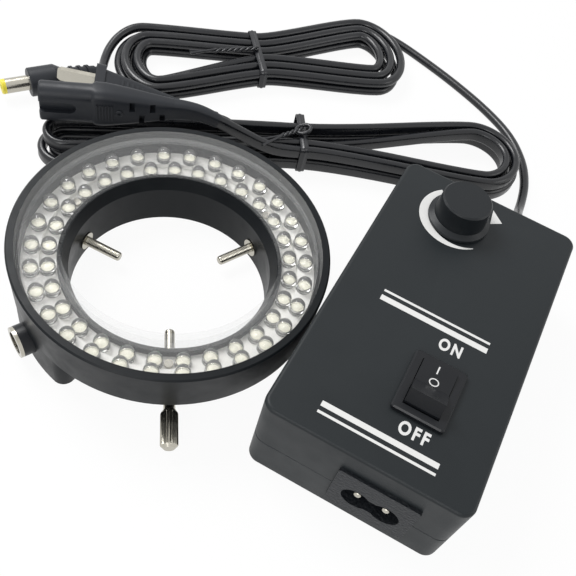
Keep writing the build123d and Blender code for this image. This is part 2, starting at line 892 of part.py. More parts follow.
def inlet_body():
    face_y = box_front_y - inlet_plate_proud
    plate = bar(
        inlet_x - inlet_plate_width / 2, inlet_x + inlet_plate_width / 2,
        face_y, box_front_y, inlet_plate_low, inlet_plate_top,
    )
    plate = chamfer(plate.edges().filter_by(Axis.Y), inlet_plate_proud * contact_share)
    body = bar(
        inlet_x - inlet_body_width / 2, inlet_x + inlet_body_width / 2,
        box_front_y - inlet_plate_proud * contact_share, box_front_y + inlet_body_depth,
        inlet_z - inlet_body_height / 2, inlet_z + inlet_body_height / 2,
    )
    shape = figure_eight(inlet_lobe_r, inlet_pitch, inlet_waist)
    pocket = extrude(inlet_plane(face_y + inlet_recess) * shape, amount=inlet_recess + overrun)
    return plate + body - pocket


def inlet_pins():
    """Two pins in the recess with their tails behind the body."""
    floor_y = box_front_y - inlet_plate_proud + inlet_recess
    back_y = box_front_y + inlet_body_depth
    pins = []
    for side in (-1, 1):
        x = inlet_x + side * inlet_pitch / 2
        pin = on_plane(Plane(origin=(x, floor_y, inlet_z), z_dir=(0, -1, 0)), inlet_pin_r, inlet_pin_length)
        pins.append(fillet(pin.edges().group_by(Axis.Y)[0], inlet_pin_r / 2))
        pins.append(on_plane(Plane(origin=(x, back_y, inlet_z), z_dir=(0, 1, 0)), inlet_tail_r, inlet_tail))
    return solids_of(pins)


# Circuit board

def circuit_board():
    body = Pos(box_centre_x, board_centre_y, board_top - board_thickness / 2) * Box(board_width, board_length, board_thickness)
    for x, y in board_post_places():
        body -= rod(x, y, board_top - board_thickness - overrun, board_screw_r + fit_gap, board_thickness + 2 * overrun)
    return body


def board_screws():
    screws = []
    for x, y in board_post_places():
        screws.append(
            rod(x, y, board_top, board_screw_head_r, board_screw_head)
            + rod(x, y, board_top - board_screw_length, board_screw_r, board_screw_length)
        )
    return solids_of(screws)


def transformer():
    core = Pos(transformer_x, transformer_y, board_top + transformer_height / 2)
    winding = Box(transformer_width, transformer_length - transformer_core, transformer_height - transformer_core / 2)
    yoke = Box(transformer_width - transformer_core, transformer_length, transformer_height)
    return core * (winding + yoke)


def capacitors():
    return solids_of([rod(x, y, board_top, radius, height) for x, y, radius, height in capacitor_list])


def fuse():
    """A glass fuse between two clips, lying across the board."""
    axis_z = board_top + fuse_raise + fuse_r
    start = Plane(origin=(fuse_x - fuse_length / 2, fuse_y, axis_z), z_dir=(1, 0, 0))
    body = on_plane(start, fuse_r, fuse_length)
    for side in (-1, 1):
        x = fuse_x + side * (fuse_length - fuse_cap) / 2
        body += bar(
            x - fuse_cap / 2, x + fuse_cap / 2,
            fuse_y - fuse_r - fuse_clip, fuse_y + fuse_r + fuse_clip, board_top, axis_z,
        )
    return body


def heat_sink():
    """A finned plate that stands on the board."""
    plate = bar(
        sink_x - sink_width / 2, sink_x + sink_width / 2,
        sink_y, sink_y + sink_thickness, board_top, board_top + sink_height,
    )
    for k in range(sink_fins):
        x = sink_x + (k - (sink_fins - 1) / 2) * sink_width / sink_fins
        plate += bar(
            x - sink_thickness / 4, x + sink_thickness / 4,
            sink_y + sink_thickness * contact_share, sink_y + 2 * sink_thickness,
            board_top, board_top + sink_height,
        )
    return plate


def transistor():
    low = board_top + transistor_up
    body = bar(
        sink_x - transistor_width / 2, sink_x + transistor_width / 2,
        sink_y - transistor_thickness, sink_y, low, low + transistor_height,
    )
    for k in (-1, 0, 1):
        x = sink_x + k * transistor_width / 4
        y = sink_y - transistor_thickness / 2
        body += bar(
            x - transistor_leg / 2, x + transistor_leg / 2,
            y - transistor_leg / 2, y + transistor_leg / 2, board_top, low + overrun,
        )
    return body


def inner_wires():
    """Wires from the inlet to the switch and to the board, and from the board to the gland."""
    tail_y = box_front_y + inlet_body_depth + inlet_tail
    terminal_low = box_height - switch_body_depth - terminal_length
    board_front = board_centre_y - board_length / 2
    left_x = inlet_x - inlet_pitch / 2
    right_x = inlet_x + inlet_pitch / 2
    wires = [
        bent_wire([
            Vector(left_x, tail_y, inlet_z),
            Vector(left_x, board_front + 2 * board_post_inset, inlet_z),
            Vector(left_x, board_front + 2 * board_post_inset, board_top),
        ], mains_wire_r, mains_wire_bend),
        bent_wire([
            Vector(right_x, tail_y, inlet_z),
            Vector(right_x, switch_y - terminal_pitch / 2, inlet_z),
            Vector(right_x - mains_wire_bend, switch_y + terminal_pitch / 2, inlet_z),
            Vector(right_x - mains_wire_bend, switch_y + terminal_pitch / 2, terminal_low),
        ], mains_wire_r, mains_wire_bend / 2),
    ]
    return wires


def gland_wires():
    """Two wires from the board to the gland."""
    inside_y = box_back_y - box_wall - gland_inside
    board_back = board_centre_y + board_length / 2
    wires = []
    for side in (-1, 1):
        x = gland_x + side * mains_wire_r * 3 / 2
        wires.append(bent_wire([
            Vector(x, inside_y, gland_z),
            Vector(x, board_back - board_post_inset / 2, gland_z),
            Vector(x, board_back - board_post_inset / 2, board_top),
        ], mains_wire_r, mains_wire_bend))
    return wires


def cord_gland():
    inner = box_back_y - box_wall - gland_inside
    profile = turned([
        (0, 0),
        (gland_r, 0),
        (gland_r, box_back_y - inner),
        (gland_flange_r, box_back_y - inner),
        (gland_flange_r, box_back_y - inner + gland_flange),
        (gland_r, box_back_y - inner + gland_flange),
        (dc_relief_end_r, box_back_y - inner + gland_flange + gland_nose),
        (0, box_back_y - inner + gland_flange + gland_nose),
    ])
    return Plane(origin=(gland_x, inner, gland_z), z_dir=(0, 1, 0)) * profile


# Cord routes

def local_to_world(hank, point):
    """A point in a hank's own frame (along, across, height) as a world vector."""
    turn = radians(hank["azimuth"])
    along, across, height = point
    x = hank["centre"][0] + along * cos(turn) - across * sin(turn)
    y = hank["centre"][1] + along * sin(turn) + across * cos(turn)
    return Vector(x, y, height)


def world_direction(hank, direction):
    turn = radians(hank["azimuth"])
    across, along, height = Vector(direction)
    return Vector(across * cos(turn) - along * sin(turn), across * sin(turn) + along * cos(turn), height)


def lobe(hank, end):
    return hank["right"] if end > 0 else hank["left"]


def lobe_across(hank, end, side, lane):
    shape = lobe(hank, end)
    return shape["centre"] + side * (shape["half"] - lane * hank["step"])


def waist_across(hank, side, lane):
    return hank["waist_centre"] + side * (hank["waist"] - lane * hank["step"])


def hank_stations(hank, runs):
    """Points and directions of a hank that winds round two lobes and a waist.

    Each run is (side, lane, height at its start, height at its end, first station, last station).
    Side is 1 for the far side, where the cord travels to the left lobe, and -1 for the near side.
    """
    stations = []
    for index, (side, lane, low, high, first, last) in enumerate(runs):
        flat = hank["flat"]
        across = waist_across(hank, side, lane)
        places = [
            (side * lobe(hank, side)["shoulder"], lobe_across(hank, side, side, lane), low),
            (side * flat, across, high),
            (-side * flat, across, high),
            (-side * lobe(hank, -side)["shoulder"], lobe_across(hank, -side, side, lane), high),
        ]
        for place in places[first:last + 1]:
            stations.append((Vector(*place), Vector(-side, 0, 0)))
        if index + 1 < len(runs):
            turn_lane = (lane + runs[index + 1][1]) / 2
            shape = lobe(hank, -side)
            tip = -side * (shape["tip"] - turn_lane * hank["step"])
            stations.append((Vector(tip, shape["centre"], high), Vector(0, -side, 0)))
    return stations


def biarc(start, start_way, end, end_way):
    """The middle point and direction of two tangent arcs, or None for a straight run."""
    gap = end - start
    if gap.cross(start_way).length < fit_gap and gap.cross(end_way).length < fit_gap:
        return None
    square = 2 * (1 - start_way.dot(end_way))
    linear = 2 * gap.dot(start_way + end_way)
    constant = -gap.dot(gap)
    if abs(square) < parallel_share:
        handle = -constant / linear
    else:
        handle = (-linear + sqrt(linear ** 2 - 4 * square * constant)) / (2 * square)
    first = start + start_way * handle
    second = end - end_way * handle
    return (first + second) / 2, (second - first).normalized()


def arc_radius(start, way, end):
    """Radius of the arc that leaves start along way and reaches end."""
    chord = end - start
    half_turn = acos(max(-1, min(1, chord.normalized().dot(way))))
    return chord.length / (2 * sin(half_turn))


def hank_path(stations):
    """Edges of a hank's centre line, its sampled points and its tightest radius."""
    edges = []
    radii = []
    for (start, start_way), (end, end_way) in zip(stations, stations[1:]):
        middle = biarc(start, start_way, end, end_way)
        if middle is None:
            edges.append(Edge.make_line(start, end))
            continue
        point, way = middle
        edges.append(Edge.make_tangent_arc(start, start_way, point))
        edges.append(Edge.make_tangent_arc(point, way, end))
        radii += [arc_radius(start, start_way, point), arc_radius(point, way, end)]
    samples = []
    for edge in edges:
        count = max(2, round(edge.length / sample_step))
        samples += [edge @ (k / count) for k in range(count)]
    samples.append(edges[-1] @ 1)
    return edges, samples, min(radii)


def least_gap(samples, thickness, tallness):
    """Least gap of a wound cord to itself; a tall section counts as an upright capsule."""
    travelled = [0]
    for a, b in zip(samples, samples[1:]):
        travelled.append(travelled[-1] + (b - a).length)
    points = [(p.X, p.Y, p.Z) for p in samples]
    least = travelled[-1]
    for i, (xa, ya, za) in enumerate(points):
        for k in range(i + 1, len(points)):
            if travelled[k] - travelled[i] < neighbour_reach:
                continue
            xb, yb, zb = points[k]
            rise = max(0, abs(za - zb) - tallness)
            least = min(least, sqrt((xa - xb) ** 2 + (ya - yb) ** 2 + rise ** 2) - thickness)
    return least


def wound_cord(name, hank, runs, section, thickness, tallness):
    """One unbroken tube round a hank, in its real place."""
    stations = [(local_to_world(hank, p), world_direction(hank, d)) for p, d in hank_stations(hank, runs)]
    edges, samples, tightest = hank_path(stations)
    path = Wire(edges)
    start = Plane(origin=stations[0][0], x_dir=stations[0][1].cross(Vector(0, 0, 1)), z_dir=stations[0][1])
    face = start * section
    tube = sweep(face, path=path)
    gap = least_gap(samples, thickness, tallness)
    print(name, "length", round(path.length), "tightest radius", round(tightest, 1), "least gap", round(gap, 2))
    print(name, "volume share", round(tube.volume / (face.area * path.length), 4))
    return tube


def free_cord(name, points, section):
    """A tube of straight runs and tangent arcs along a route."""
    points = [Vector(p) for p in points]
    radii = []
    for a, b, c in zip(points, points[1:], points[2:]):
        turn = radians((b - a).get_angle(c - b))
        run = min((b - a).length, (c - b).length)
        radii.append(cord_arc_share * run / tan(turn / 2))
    path = FilletPolyline(*points, radius=radii)
    way = path % 0
    face = Plane(origin=path @ 0, x_dir=way.cross(Vector(0, 0, 1)), z_dir=way) * section
    tube = sweep(face, path=path)
    print(name, "length", round(path.length), "radii", [round(r) for r in radii])
    print(name, "volume share", round(tube.volume / (face.area * path.length), 4))
    return tube


dc_low = dc_r + dc_floor_gap
dc_high = dc_low + dc_layer
twin_low = twin_height / 2 + twin_floor_gap
twin_high = twin_low + twin_layer
twin_section = Rot(0, 0, 90) * SlotOverall(twin_height, twin_thickness)


def dc_runs():
    return [
        (1, 0, dc_low, dc_low, 0, 3),
        (-1, 1 / 2, dc_low, dc_low, 0, 3),
        (1, 1, dc_low, dc_low, 0, 3),
        (-1, 3 / 2, dc_low, dc_low, 0, 3),
        (1, 2, dc_low, dc_low, 0, 3),
        (-1, 5 / 2, dc_low, dc_high, 0, 3),
        (1, 2, dc_high, dc_high, 0, 3),
        (-1, 3 / 2, dc_high, dc_high, 0, 3),
        (1, 1, dc_high, dc_high, 0, 3),
        (-1, 1 / 2, dc_high, dc_high, 0, 3),
        (1, 0, dc_high, dc_high, 0, 3),
    ]


def dc_cord_hank():
    return wound_cord("dc_cord_hank", dc_hank, dc_runs(), Circle(dc_r), 2 * dc_r, 0)


def dc_cord_lead():
    """From the gland to the hank, straight at both ends."""
    start = Vector(gland_x, box_back_y + gland_flange + gland_nose, gland_z)
    shoulder = dc_hank["right"]["shoulder"]
    across = lobe_across(dc_hank, 1, 1, 0)
    points = [start, start + Vector(0, dc_lead_in, 0)] + dc_lead_route
    points.append(local_to_world(dc_hank, (shoulder + dc_lead_in, across, dc_low)))
    points.append(local_to_world(dc_hank, (shoulder, across, dc_low)))
    return free_cord("dc_cord_lead", points, Circle(dc_r))


def dc_plug_plane(along):
    """A plane square to the low-voltage plug, facing its cord, at a distance from its front face."""
    turn = radians(dc_plug_azimuth)
    rise = radians(dc_plug_rise)
    way = Vector(cos(turn) * cos(rise), sin(turn) * cos(rise), sin(rise))
    return Plane(origin=Vector(*dc_plug_face) + way * along, z_dir=way)


def relief_planes():
    """Planes along the bent strain relief, from the plug's grip to the cord."""
    planes = [dc_plug_plane(dc_plug_body)]
    pitch = dc_plug_relief / relief_ribs
    for k in range(relief_ribs):
        share = (k + 1 / 2) / relief_ribs
        mid_way = relief_way(share)
        planes.append(Plane(origin=planes[-1].origin + mid_way * pitch, z_dir=relief_way((k + 1) / relief_ribs)))
    return planes


def relief_way(share):
    """The direction of the strain relief at a share of its length."""
    turn = radians(dc_plug_azimuth + (dc_relief_azimuth - dc_plug_azimuth) * share)
    rise = radians(dc_plug_rise - (dc_relief_drop + dc_plug_rise) * share)
    return Vector(cos(turn) * cos(rise), sin(turn) * cos(rise), sin(rise))


def dc_cord_tail():
    """From the hank to the low-voltage plug, straight at both ends."""
    shoulder = -dc_hank["left"]["shoulder"]
    across = lobe_across(dc_hank, -1, 1, 0)
    route = [(shoulder, across, dc_high), (shoulder - dc_lead_in, across, dc_high)] + dc_tail_route
    end = relief_planes()[-1]
    points = [local_to_world(dc_hank, p) for p in route]
    points += [end.origin + end.z_dir * dc_tail_lead_in, end.origin]
    return free_cord("dc_cord_tail", points, Circle(dc_r))


def mains_runs():
    return [
        (-1, 0, twin_high, twin_high, 1, 3),
        (1, 1 / 2, twin_high, twin_high, 0, 3),
        (-1, 1, twin_high, twin_high, 0, 3),
        (1, 3 / 2, twin_high, twin_low, 0, 3),
        (-1, 1, twin_low, twin_low, 0, 3),
        (1, 1 / 2, twin_low, twin_low, 0, 3),
        (-1, 0, twin_low, twin_low, 0, 3),
        (1, -1 / 2, twin_low, twin_low, 0, 2),
    ]


def mains_hank_tube():
    return wound_cord("mains_cord_hank", mains_hank, mains_runs(), twin_section, twin_thickness, twin_height - twin_thickness)


def connector_lead():
    """From the small connector to the hank, straight at both ends."""
    along, across, height = connector_end
    flat = -mains_hank["flat"]
    lane = waist_across(mains_hank, -1, 0)
    route = [connector_end, (along + connector_lead_in, across, height)] + connector_lead_route
    route += [(flat - hank_lead_in, lane, twin_high), (flat, lane, twin_high)]
    return free_cord("connector_lead", [local_to_world(mains_hank, p) for p in route], twin_section)


def wall_plug_plane(along):
    """A plane square to the wall plug, facing its cord, at a distance from its front face."""
    turn = radians(wall_plug_azimuth)
    drop = radians(wall_plug_drop)
    way = Vector(cos(turn) * cos(drop), sin(turn) * cos(drop), -sin(drop))
    level = Vector(-sin(turn), cos(turn), 0)
    roll = radians(wall_plug_roll)
    across = level * cos(roll) + way.cross(level) * sin(roll)
    return Plane(origin=Vector(*wall_plug_face) + way * along, x_dir=across, z_dir=way)


def wall_plug_lead():
    """From the hank to the wall plug, straight at both ends."""
    flat = -mains_hank["flat"]
    lane = waist_across(mains_hank, 1, -1 / 2)
    end = wall_plug_plane(wall_plug_body + wall_plug_relief)
    points = [local_to_world(mains_hank, p) for p in [(flat, lane, twin_low), (flat - hank_lead_in, lane, twin_low)]]
    points += [end.origin + end.z_dir * wall_plug_lead_in, end.origin]
    return free_cord("wall_plug_lead", points, twin_section)


# Low-voltage plug

def dc_plug_shell():
    """The moulded grip and its ribbed strain relief."""
    grip = dc_plug_plane(0) * turned([
        (dc_barrel_r, 0),
        (dc_plug_r - play, 0),
        (dc_plug_r, play),
        (dc_plug_r, dc_plug_body * 3 / 4),
        (dc_relief_r, dc_plug_body),
        (0, dc_plug_body),
        (0, dc_plug_body / 3),
        (dc_barrel_r, dc_plug_body / 3),
    ])
    planes = relief_planes()
    radii = [dc_relief_r - (dc_relief_r - dc_relief_end_r) * k / relief_ribs for k in range(relief_ribs + 1)]
    body = grip + loft([plane * Circle(radius) for plane, radius in zip(planes, radii)])
    for plane, radius in list(zip(planes, radii))[1:-1]:
        body += on_plane(plane.offset(-relief_rib), radius + relief_rib, 2 * relief_rib)
    return body


def dc_plug_barrel():
    start = dc_plug_plane(-dc_barrel_length)
    length = dc_barrel_length + dc_plug_body / 3
    barrel = on_plane(start, dc_barrel_r, length)
    return barrel - on_plane(start, dc_tip_sleeve_r, dc_barrel_length)


def dc_plug_tip():
    """The insulating collar at the barrel's mouth with its sleeve inside the barrel."""
    body = turned([
        (dc_barrel_hole_r, 0),
        (dc_barrel_r - play, 0),
        (dc_barrel_r, play),
        (dc_barrel_r, dc_tip_length),
        (dc_tip_sleeve_r - fit_gap, dc_tip_length),
        (dc_tip_sleeve_r - fit_gap, dc_barrel_length + dc_tip_length),
        (dc_barrel_hole_r, dc_barrel_length + dc_tip_length),
    ])
    return dc_plug_plane(-dc_barrel_length - dc_tip_length) * body


# Small two-pole connector

def connector_plane(along):
    """A plane square to the connector, facing its cord, at a distance from its nose."""
    turn = radians(mains_hank["azimuth"])
    way = Vector(cos(turn), sin(turn), 0)
    nose = local_to_world(mains_hank, connector_end) - way * connector_length
    return Plane(origin=nose + way * along, x_dir=(0, 0, 1), z_dir=way)


def connector_body():
    tail = connector_length - connector_nose - connector_grip
    radius = connector_nose_thickness / 2
    nose = extrude(SlotOverall(connector_nose_height, connector_nose_thickness), amount=connector_nose + overrun)
    nose = chamfer(nose.edges().group_by(Axis.Z)[0], play)
    grip_plan = RectangleRounded(connector_grip_height, connector_grip_thickness, radius / 2)
    grip = Pos(0, 0, connector_nose) * extrude(grip_plan, amount=connector_grip)
    end_plan = RectangleRounded(connector_tail_height, connector_tail_thickness, radius / 3)
    taper = loft([Pos(0, 0, connector_nose + connector_grip) * grip_plan, Pos(0, 0, connector_length) * end_plan])
    body = nose + grip + taper
    for side in (-1, 1):
        hole = Pos(side * inlet_pitch / 2 * connector_share, 0, 0)
        body -= hole * rod(0, 0, -overrun, connector_contact_r, connector_contact_length + overrun)
        for k in range(connector_slots):
            z = connector_nose + connector_grip + (k + 1 / 2) * tail / (connector_slots + 1)
            y = side * (connector_grip_thickness / 2)
            body -= Pos(0, y, z) * Box(connector_grip_height / 3, 2 * connector_slot_depth, connector_slot)
    return connector_plane(0) * body



def connector_contacts():
    contacts = []
    for side in (-1, 1):
        tube = rod(0, 0, play, connector_contact_r - fit_gap, connector_contact_length - play)
        tube -= rod(0, 0, 0, connector_contact_hole_r, connector_contact_length * 9 / 10)
        contacts.append(connector_plane(0) * Pos(side * inlet_pitch / 2 * connector_share, 0, 0) * tube)
    return solids_of(contacts)


# Wall plug

def wall_plug_shell():
    """Flange, tapering grip and slotted strain relief."""
    corner = wall_plug_height / 4
    full = RectangleRounded(wall_plug_width, wall_plug_height, corner)
    shoulder = RectangleRounded(wall_plug_width - corner, wall_plug_height - corner / 2, corner)
    neck = RectangleRounded(wall_plug_neck_width, wall_plug_neck_height, corner)
    end = RectangleRounded(wall_plug_relief_width, wall_plug_relief_height, corner / 2)
    body = extrude(full, amount=wall_plug_flange)
    body += loft([Pos(0, 0, wall_plug_flange) * shoulder, Pos(0, 0, wall_plug_body) * neck])
    body += loft([
        Pos(0, 0, wall_plug_body) * RectangleRounded(wall_plug_neck_width * 3 / 4, wall_plug_neck_height, corner / 2),
        Pos(0, 0, wall_plug_body + wall_plug_relief) * end,
    ])
    for side in (-1, 1):
        hole = Box(blade_thickness + 2 * fit_gap, blade_height + 2 * fit_gap, 2 * blade_root)
        body -= Pos(side * blade_pitch / 2, 0, 0) * hole
        groove_z = wall_plug_body + wall_plug_relief / 2
        body -= Pos(side * wall_plug_neck_width / 2, 0, groove_z) * Box(wall_plug_relief_width / 2, wall_plug_height, wall_plug_relief / 4)
    return wall_plug_plane(0) * body


def wall_plug_blades():
    blades = []
    for side in (-1, 1):
        blade = Pos(side * blade_pitch / 2, 0, (blade_root - blade_length) / 2) * Box(blade_thickness, blade_height, blade_length + blade_root)
        tip = blade.edges().filter_by(Axis.X).group_by(Axis.Z)[0]
        blades.append(wall_plug_plane(0) * chamfer(tip, blade_corner))
    return solids_of(blades)


# Twist ties

def tie(hank, along, near, far, top):
    """A flat band round a hank's waist, between two across places and up to a height."""
    width = far - near + 2 * (tie_gap + tie_thickness)
    height = top + tie_gap + tie_thickness
    turn = radians(hank["azimuth"])
    plane = Plane(
        origin=local_to_world(hank, (along - tie_width / 2, (near + far) / 2, height / 2)),
        x_dir=(-sin(turn), cos(turn), 0), z_dir=(cos(turn), sin(turn), 0),
    )
    band = RectangleRounded(width, height, tie_corner)
    hollow = RectangleRounded(width - 2 * tie_thickness, height - 2 * tie_thickness, tie_corner - tie_thickness)
    return extrude(plane * (band - hollow), amount=tie_width)


def tie_tail(hank, start, end):
    """The twisted ends of a tie, as one level rod between two places on top of the hank."""
    origin = local_to_world(hank, start)
    reach = local_to_world(hank, (end[0], end[1], start[2])) - origin
    return on_plane(Plane(origin=origin, z_dir=reach), tie_tail_r, reach.length)


def dc_cord_tie():
    near = waist_across(dc_hank, -1, 1 / 2) - dc_r
    far = waist_across(dc_hank, 1, 0) + dc_r
    top = dc_high + dc_r
    band = tie(dc_hank, dc_tie_s, near, far, top)
    start = (dc_tie_s, (near + far) / 2, top + tie_gap + tie_thickness + tie_tail_r - fit_gap)
    return band + tie_tail(dc_hank, start, dc_tie_tail_end)


def mains_cord_tie():
    near = waist_across(mains_hank, -1, 0) - twin_thickness / 2
    far = waist_across(mains_hank, 1, -1 / 2) + twin_thickness / 2
    top = twin_high + twin_height / 2
    band = tie(mains_hank, mains_tie_s, near, far, top)
    start = (mains_tie_s, (near + far) / 2, top + tie_gap + tie_thickness + tie_tail_r - fit_gap)
    return band + tie_tail(mains_hank, start, mains_tie_tail_end)


nodes = {
    "ring_housing": ring_housing(),
    "clear_cover": clear_cover(),
    "lamp_board": lamp_board(),
    "lamp_carrier": lamp_carrier(),
    "lamps_outer": lamps_outer(),
    "lamps_inner": lamps_inner(),
    "lamp_resistors": lamp_resistors(),
    "carrier_screws": carrier_screws(),
    "jack_body": jack_body(),
    "jack_ring": jack_ring(),
    "jack_pin": jack_pin(),
    "jack_wires": jack_wires(),
    "screw_bushes": screw_bushes(),
    "top_case": top_case(),
    "bottom_case": bottom_case(),
    "case_screws": case_screws(),
    "case_pads": case_pads(),
    "switch_frame": switch_frame(),
    "switch_rocker": switch_rocker(),
    "switch_terminals": switch_terminals(),
    "dimmer_knob": dimmer_knob(),
    "dimmer_shaft": dimmer_shaft(),
    "dimmer_control": dimmer_control(),
    "dimmer_nut": dimmer_nut(),
    "inlet_body": inlet_body(),
    "inlet_pins": inlet_pins(),
    "circuit_board": circuit_board(),
    "board_screws": board_screws(),
    "transformer": transformer(),
    "capacitors": capacitors(),
    "fuse": fuse(),
    "heat_sink": heat_sink(),
    "transistor": transistor(),
    "inner_wires": solids_of(inner_wires() + gland_wires()),
    "cord_gland": cord_gland(),
    "dc_cord_lead": dc_cord_lead(),
    "dc_cord_hank": dc_cord_hank(),
    "dc_cord_tail": dc_cord_tail(),
    "dc_cord_tie": dc_cord_tie(),
    "dc_plug_shell": dc_plug_shell(),
    "dc_plug_barrel": dc_plug_barrel(),
    "dc_plug_tip": dc_plug_tip(),
    "connector_lead": connector_lead(),
    "mains_cord_hank": mains_hank_tube(),
    "wall_plug_lead": wall_plug_lead(),
    "mains_cord_tie": mains_cord_tie(),
    "connector_body": connector_body(),
    "connector_contacts": connector_contacts(),
    "wall_plug_shell": wall_plug_shell(),
    "wall_plug_blades": wall_plug_blades(),
}
for place, azimuth in screw_azimuths.items():
    nodes["thumbscrew_shank_" + place] = thumbscrew_shank(azimuth)
    nodes["thumbscrew_head_" + place] = thumbscrew_head(azimuth)

os.makedirs("parts", exist_ok=True)
for name, shape in nodes.items():
    export_step(shape, os.path.join("parts", name + ".step"))
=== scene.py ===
import json
from math import cos, pi, radians, sin, sqrt

import bmesh
import bpy
from mathutils import Matrix, Vector


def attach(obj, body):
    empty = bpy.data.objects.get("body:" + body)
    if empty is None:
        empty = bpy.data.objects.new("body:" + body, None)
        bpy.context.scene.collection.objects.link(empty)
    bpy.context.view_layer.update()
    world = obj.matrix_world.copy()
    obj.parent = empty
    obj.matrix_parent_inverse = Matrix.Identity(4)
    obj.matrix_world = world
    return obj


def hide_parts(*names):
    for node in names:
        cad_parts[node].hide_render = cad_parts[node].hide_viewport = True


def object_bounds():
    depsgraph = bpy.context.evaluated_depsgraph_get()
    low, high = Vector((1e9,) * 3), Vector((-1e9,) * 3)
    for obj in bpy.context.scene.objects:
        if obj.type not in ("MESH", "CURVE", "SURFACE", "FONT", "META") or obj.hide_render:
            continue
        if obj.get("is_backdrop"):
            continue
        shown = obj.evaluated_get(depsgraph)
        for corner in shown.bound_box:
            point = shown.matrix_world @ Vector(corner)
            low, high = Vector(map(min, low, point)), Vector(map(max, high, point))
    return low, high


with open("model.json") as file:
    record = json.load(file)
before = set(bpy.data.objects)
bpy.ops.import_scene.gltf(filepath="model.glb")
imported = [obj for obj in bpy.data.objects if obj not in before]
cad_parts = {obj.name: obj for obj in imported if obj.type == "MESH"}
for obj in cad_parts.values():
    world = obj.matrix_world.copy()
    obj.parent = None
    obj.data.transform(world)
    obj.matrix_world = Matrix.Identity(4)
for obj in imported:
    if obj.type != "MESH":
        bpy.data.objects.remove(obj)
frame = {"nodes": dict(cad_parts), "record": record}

# Places and sizes are in millimetres until they are multiplied by MM.
MM = 0.001
UP = Vector((0, 0, 1))
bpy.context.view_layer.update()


# Camera, fitted to the photograph

CAMERA_PLACE = Vector((69.4656, -130.4280, 211.6634))
CAMERA_AXES = Matrix((
    (0.875962, -0.461437, 0.140595),
    (0.450126, 0.677111, -0.582158),
    (0.173431, 0.573233, 0.800828),
))

camera = bpy.data.objects.new("camera", bpy.data.cameras.new("camera"))
bpy.context.collection.objects.link(camera)
camera.matrix_world = Matrix.Translation(CAMERA_PLACE * MM) @ CAMERA_AXES.to_4x4()
camera.data.lens = 48.837
camera.data.sensor_width = 36.0
camera.data.clip_start = 0.005
bpy.context.scene.camera = camera


# Mesh helpers

def smooth_mesh(bm, name, sharp=40.0):
    """An object from bm, smooth but for edges that turn more than sharp, in degrees."""
    mesh = bpy.data.meshes.new(name)
    bmesh.ops.recalc_face_normals(bm, faces=bm.faces)
    for face in bm.faces:
        face.smooth = True
    for edge in bm.edges:
        if len(edge.link_faces) == 2 and edge.calc_face_angle(0) > radians(sharp):
            edge.smooth = False
    bm.to_mesh(mesh)
    bm.free()
    return bpy.data.objects.new(name, mesh)


def bridge(bm, a, b):
    """Adds the faces between two rings, either of which may be a single point."""
    count = max(len(a), len(b))
    for k in range(count):
        n = (k + 1) % count
        corners = dict.fromkeys((a[k % len(a)], a[n % len(a)], b[n % len(b)], b[k % len(b)]))
        if len(corners) > 2:
            bm.faces.new(list(corners))


def circle_row(bm, centre, side, other, radius, count):
    """Adds a ring of points round centre, in the plane of side and other."""
    turns = [2 * pi * k / count for k in range(count)]
    return [bm.verts.new((centre + (side * cos(a) + other * sin(a)) * radius) * MM) for a in turns]


def rings_mesh(name, rings, sharp=40.0):
    """A closed skin over a row of equal rings of points, in metres."""
    bm = bmesh.new()
    rows = [[bm.verts.new(p) for p in ring] for ring in rings]
    for a, b in zip(rows, rows[1:]):
        bridge(bm, a, b)
    bm.faces.new(rows[0][::-1])
    bm.faces.new(rows[-1])
    return smooth_mesh(bm, name, sharp)


def lathe_into(bm, centre, axis, profile, count=16):
    """Adds a turned skin: profile is a list of (distance along the axis, radius)."""
    side = axis.orthogonal().normalized()
    other = axis.cross(side)
    rows = []
    for along, radius in profile:
        spot = centre + axis * along
        rows.append(circle_row(bm, spot, side, other, radius, count) if radius else [bm.verts.new(spot * MM)])
    for a, b in zip(rows, rows[1:]):
        bridge(bm, a, b)


def tube_along(bm, path, radius, sides=8, closed=False):
    """Adds a round tube along a path."""
    rows = []
    count = len(path)
    for k, point in enumerate(path):
        before = path[k - 1] if closed or k else point
        after = path[(k + 1) % count] if closed or k + 1 < count else point
        along = (after - before).normalized()
        side = along.cross(UP)
        side = side.normalized() if side.length > 0.05 else along.cross(Vector((1, 0, 0))).normalized()
        rows.append(circle_row(bm, point, side, side.cross(along), radius, sides))
    for a, b in zip(rows, rows[1:] + rows[:1] if closed else rows[1:]):
        bridge(bm, a, b)
    if not closed:
        bm.faces.new(rows[0][::-1])
        bm.faces.new(rows[-1])


def block_into(bm, spot, along, up, across):
    """Adds a block between two values on each of the three axes that spot places points by."""
    corners = [spot(a, b, c) for c in across for a, b in (
        (along[0], up[0]), (along[1], up[0]), (along[1], up[1]), (along[0], up[1]))]
    verts = [bm.verts.new(corner) for corner in corners]
    for ring in ((3, 2, 1, 0), (4, 5, 6, 7), (0, 1, 5, 4), (1, 2, 6, 5), (2, 3, 7, 6), (3, 0, 4, 7)):
        bm.faces.new([verts[k] for k in ring])


def cut(obj, cutter_bm):
    """The same object with the shapes in cutter_bm taken away."""
    name = obj.name
    cutter = smooth_mesh(cutter_bm, name + "_cutter")
    bpy.context.collection.objects.link(obj)
    bpy.context.collection.objects.link(cutter)
    tool = obj.modifiers.new("cut", "BOOLEAN")
    tool.operation = "DIFFERENCE"
    tool.solver = "EXACT"
    tool.use_self = True
    tool.object = cutter
    bpy.context.view_layer.update()
    shape = bmesh.new()
    shape.from_mesh(obj.evaluated_get(bpy.context.evaluated_depsgraph_get()).data)
    for old in (obj, cutter):
        bpy.data.objects.remove(old)
    bmesh.ops.dissolve_degenerate(shape, edges=shape.edges, dist=1e-7)
    return smooth_mesh(shape, name, 24)


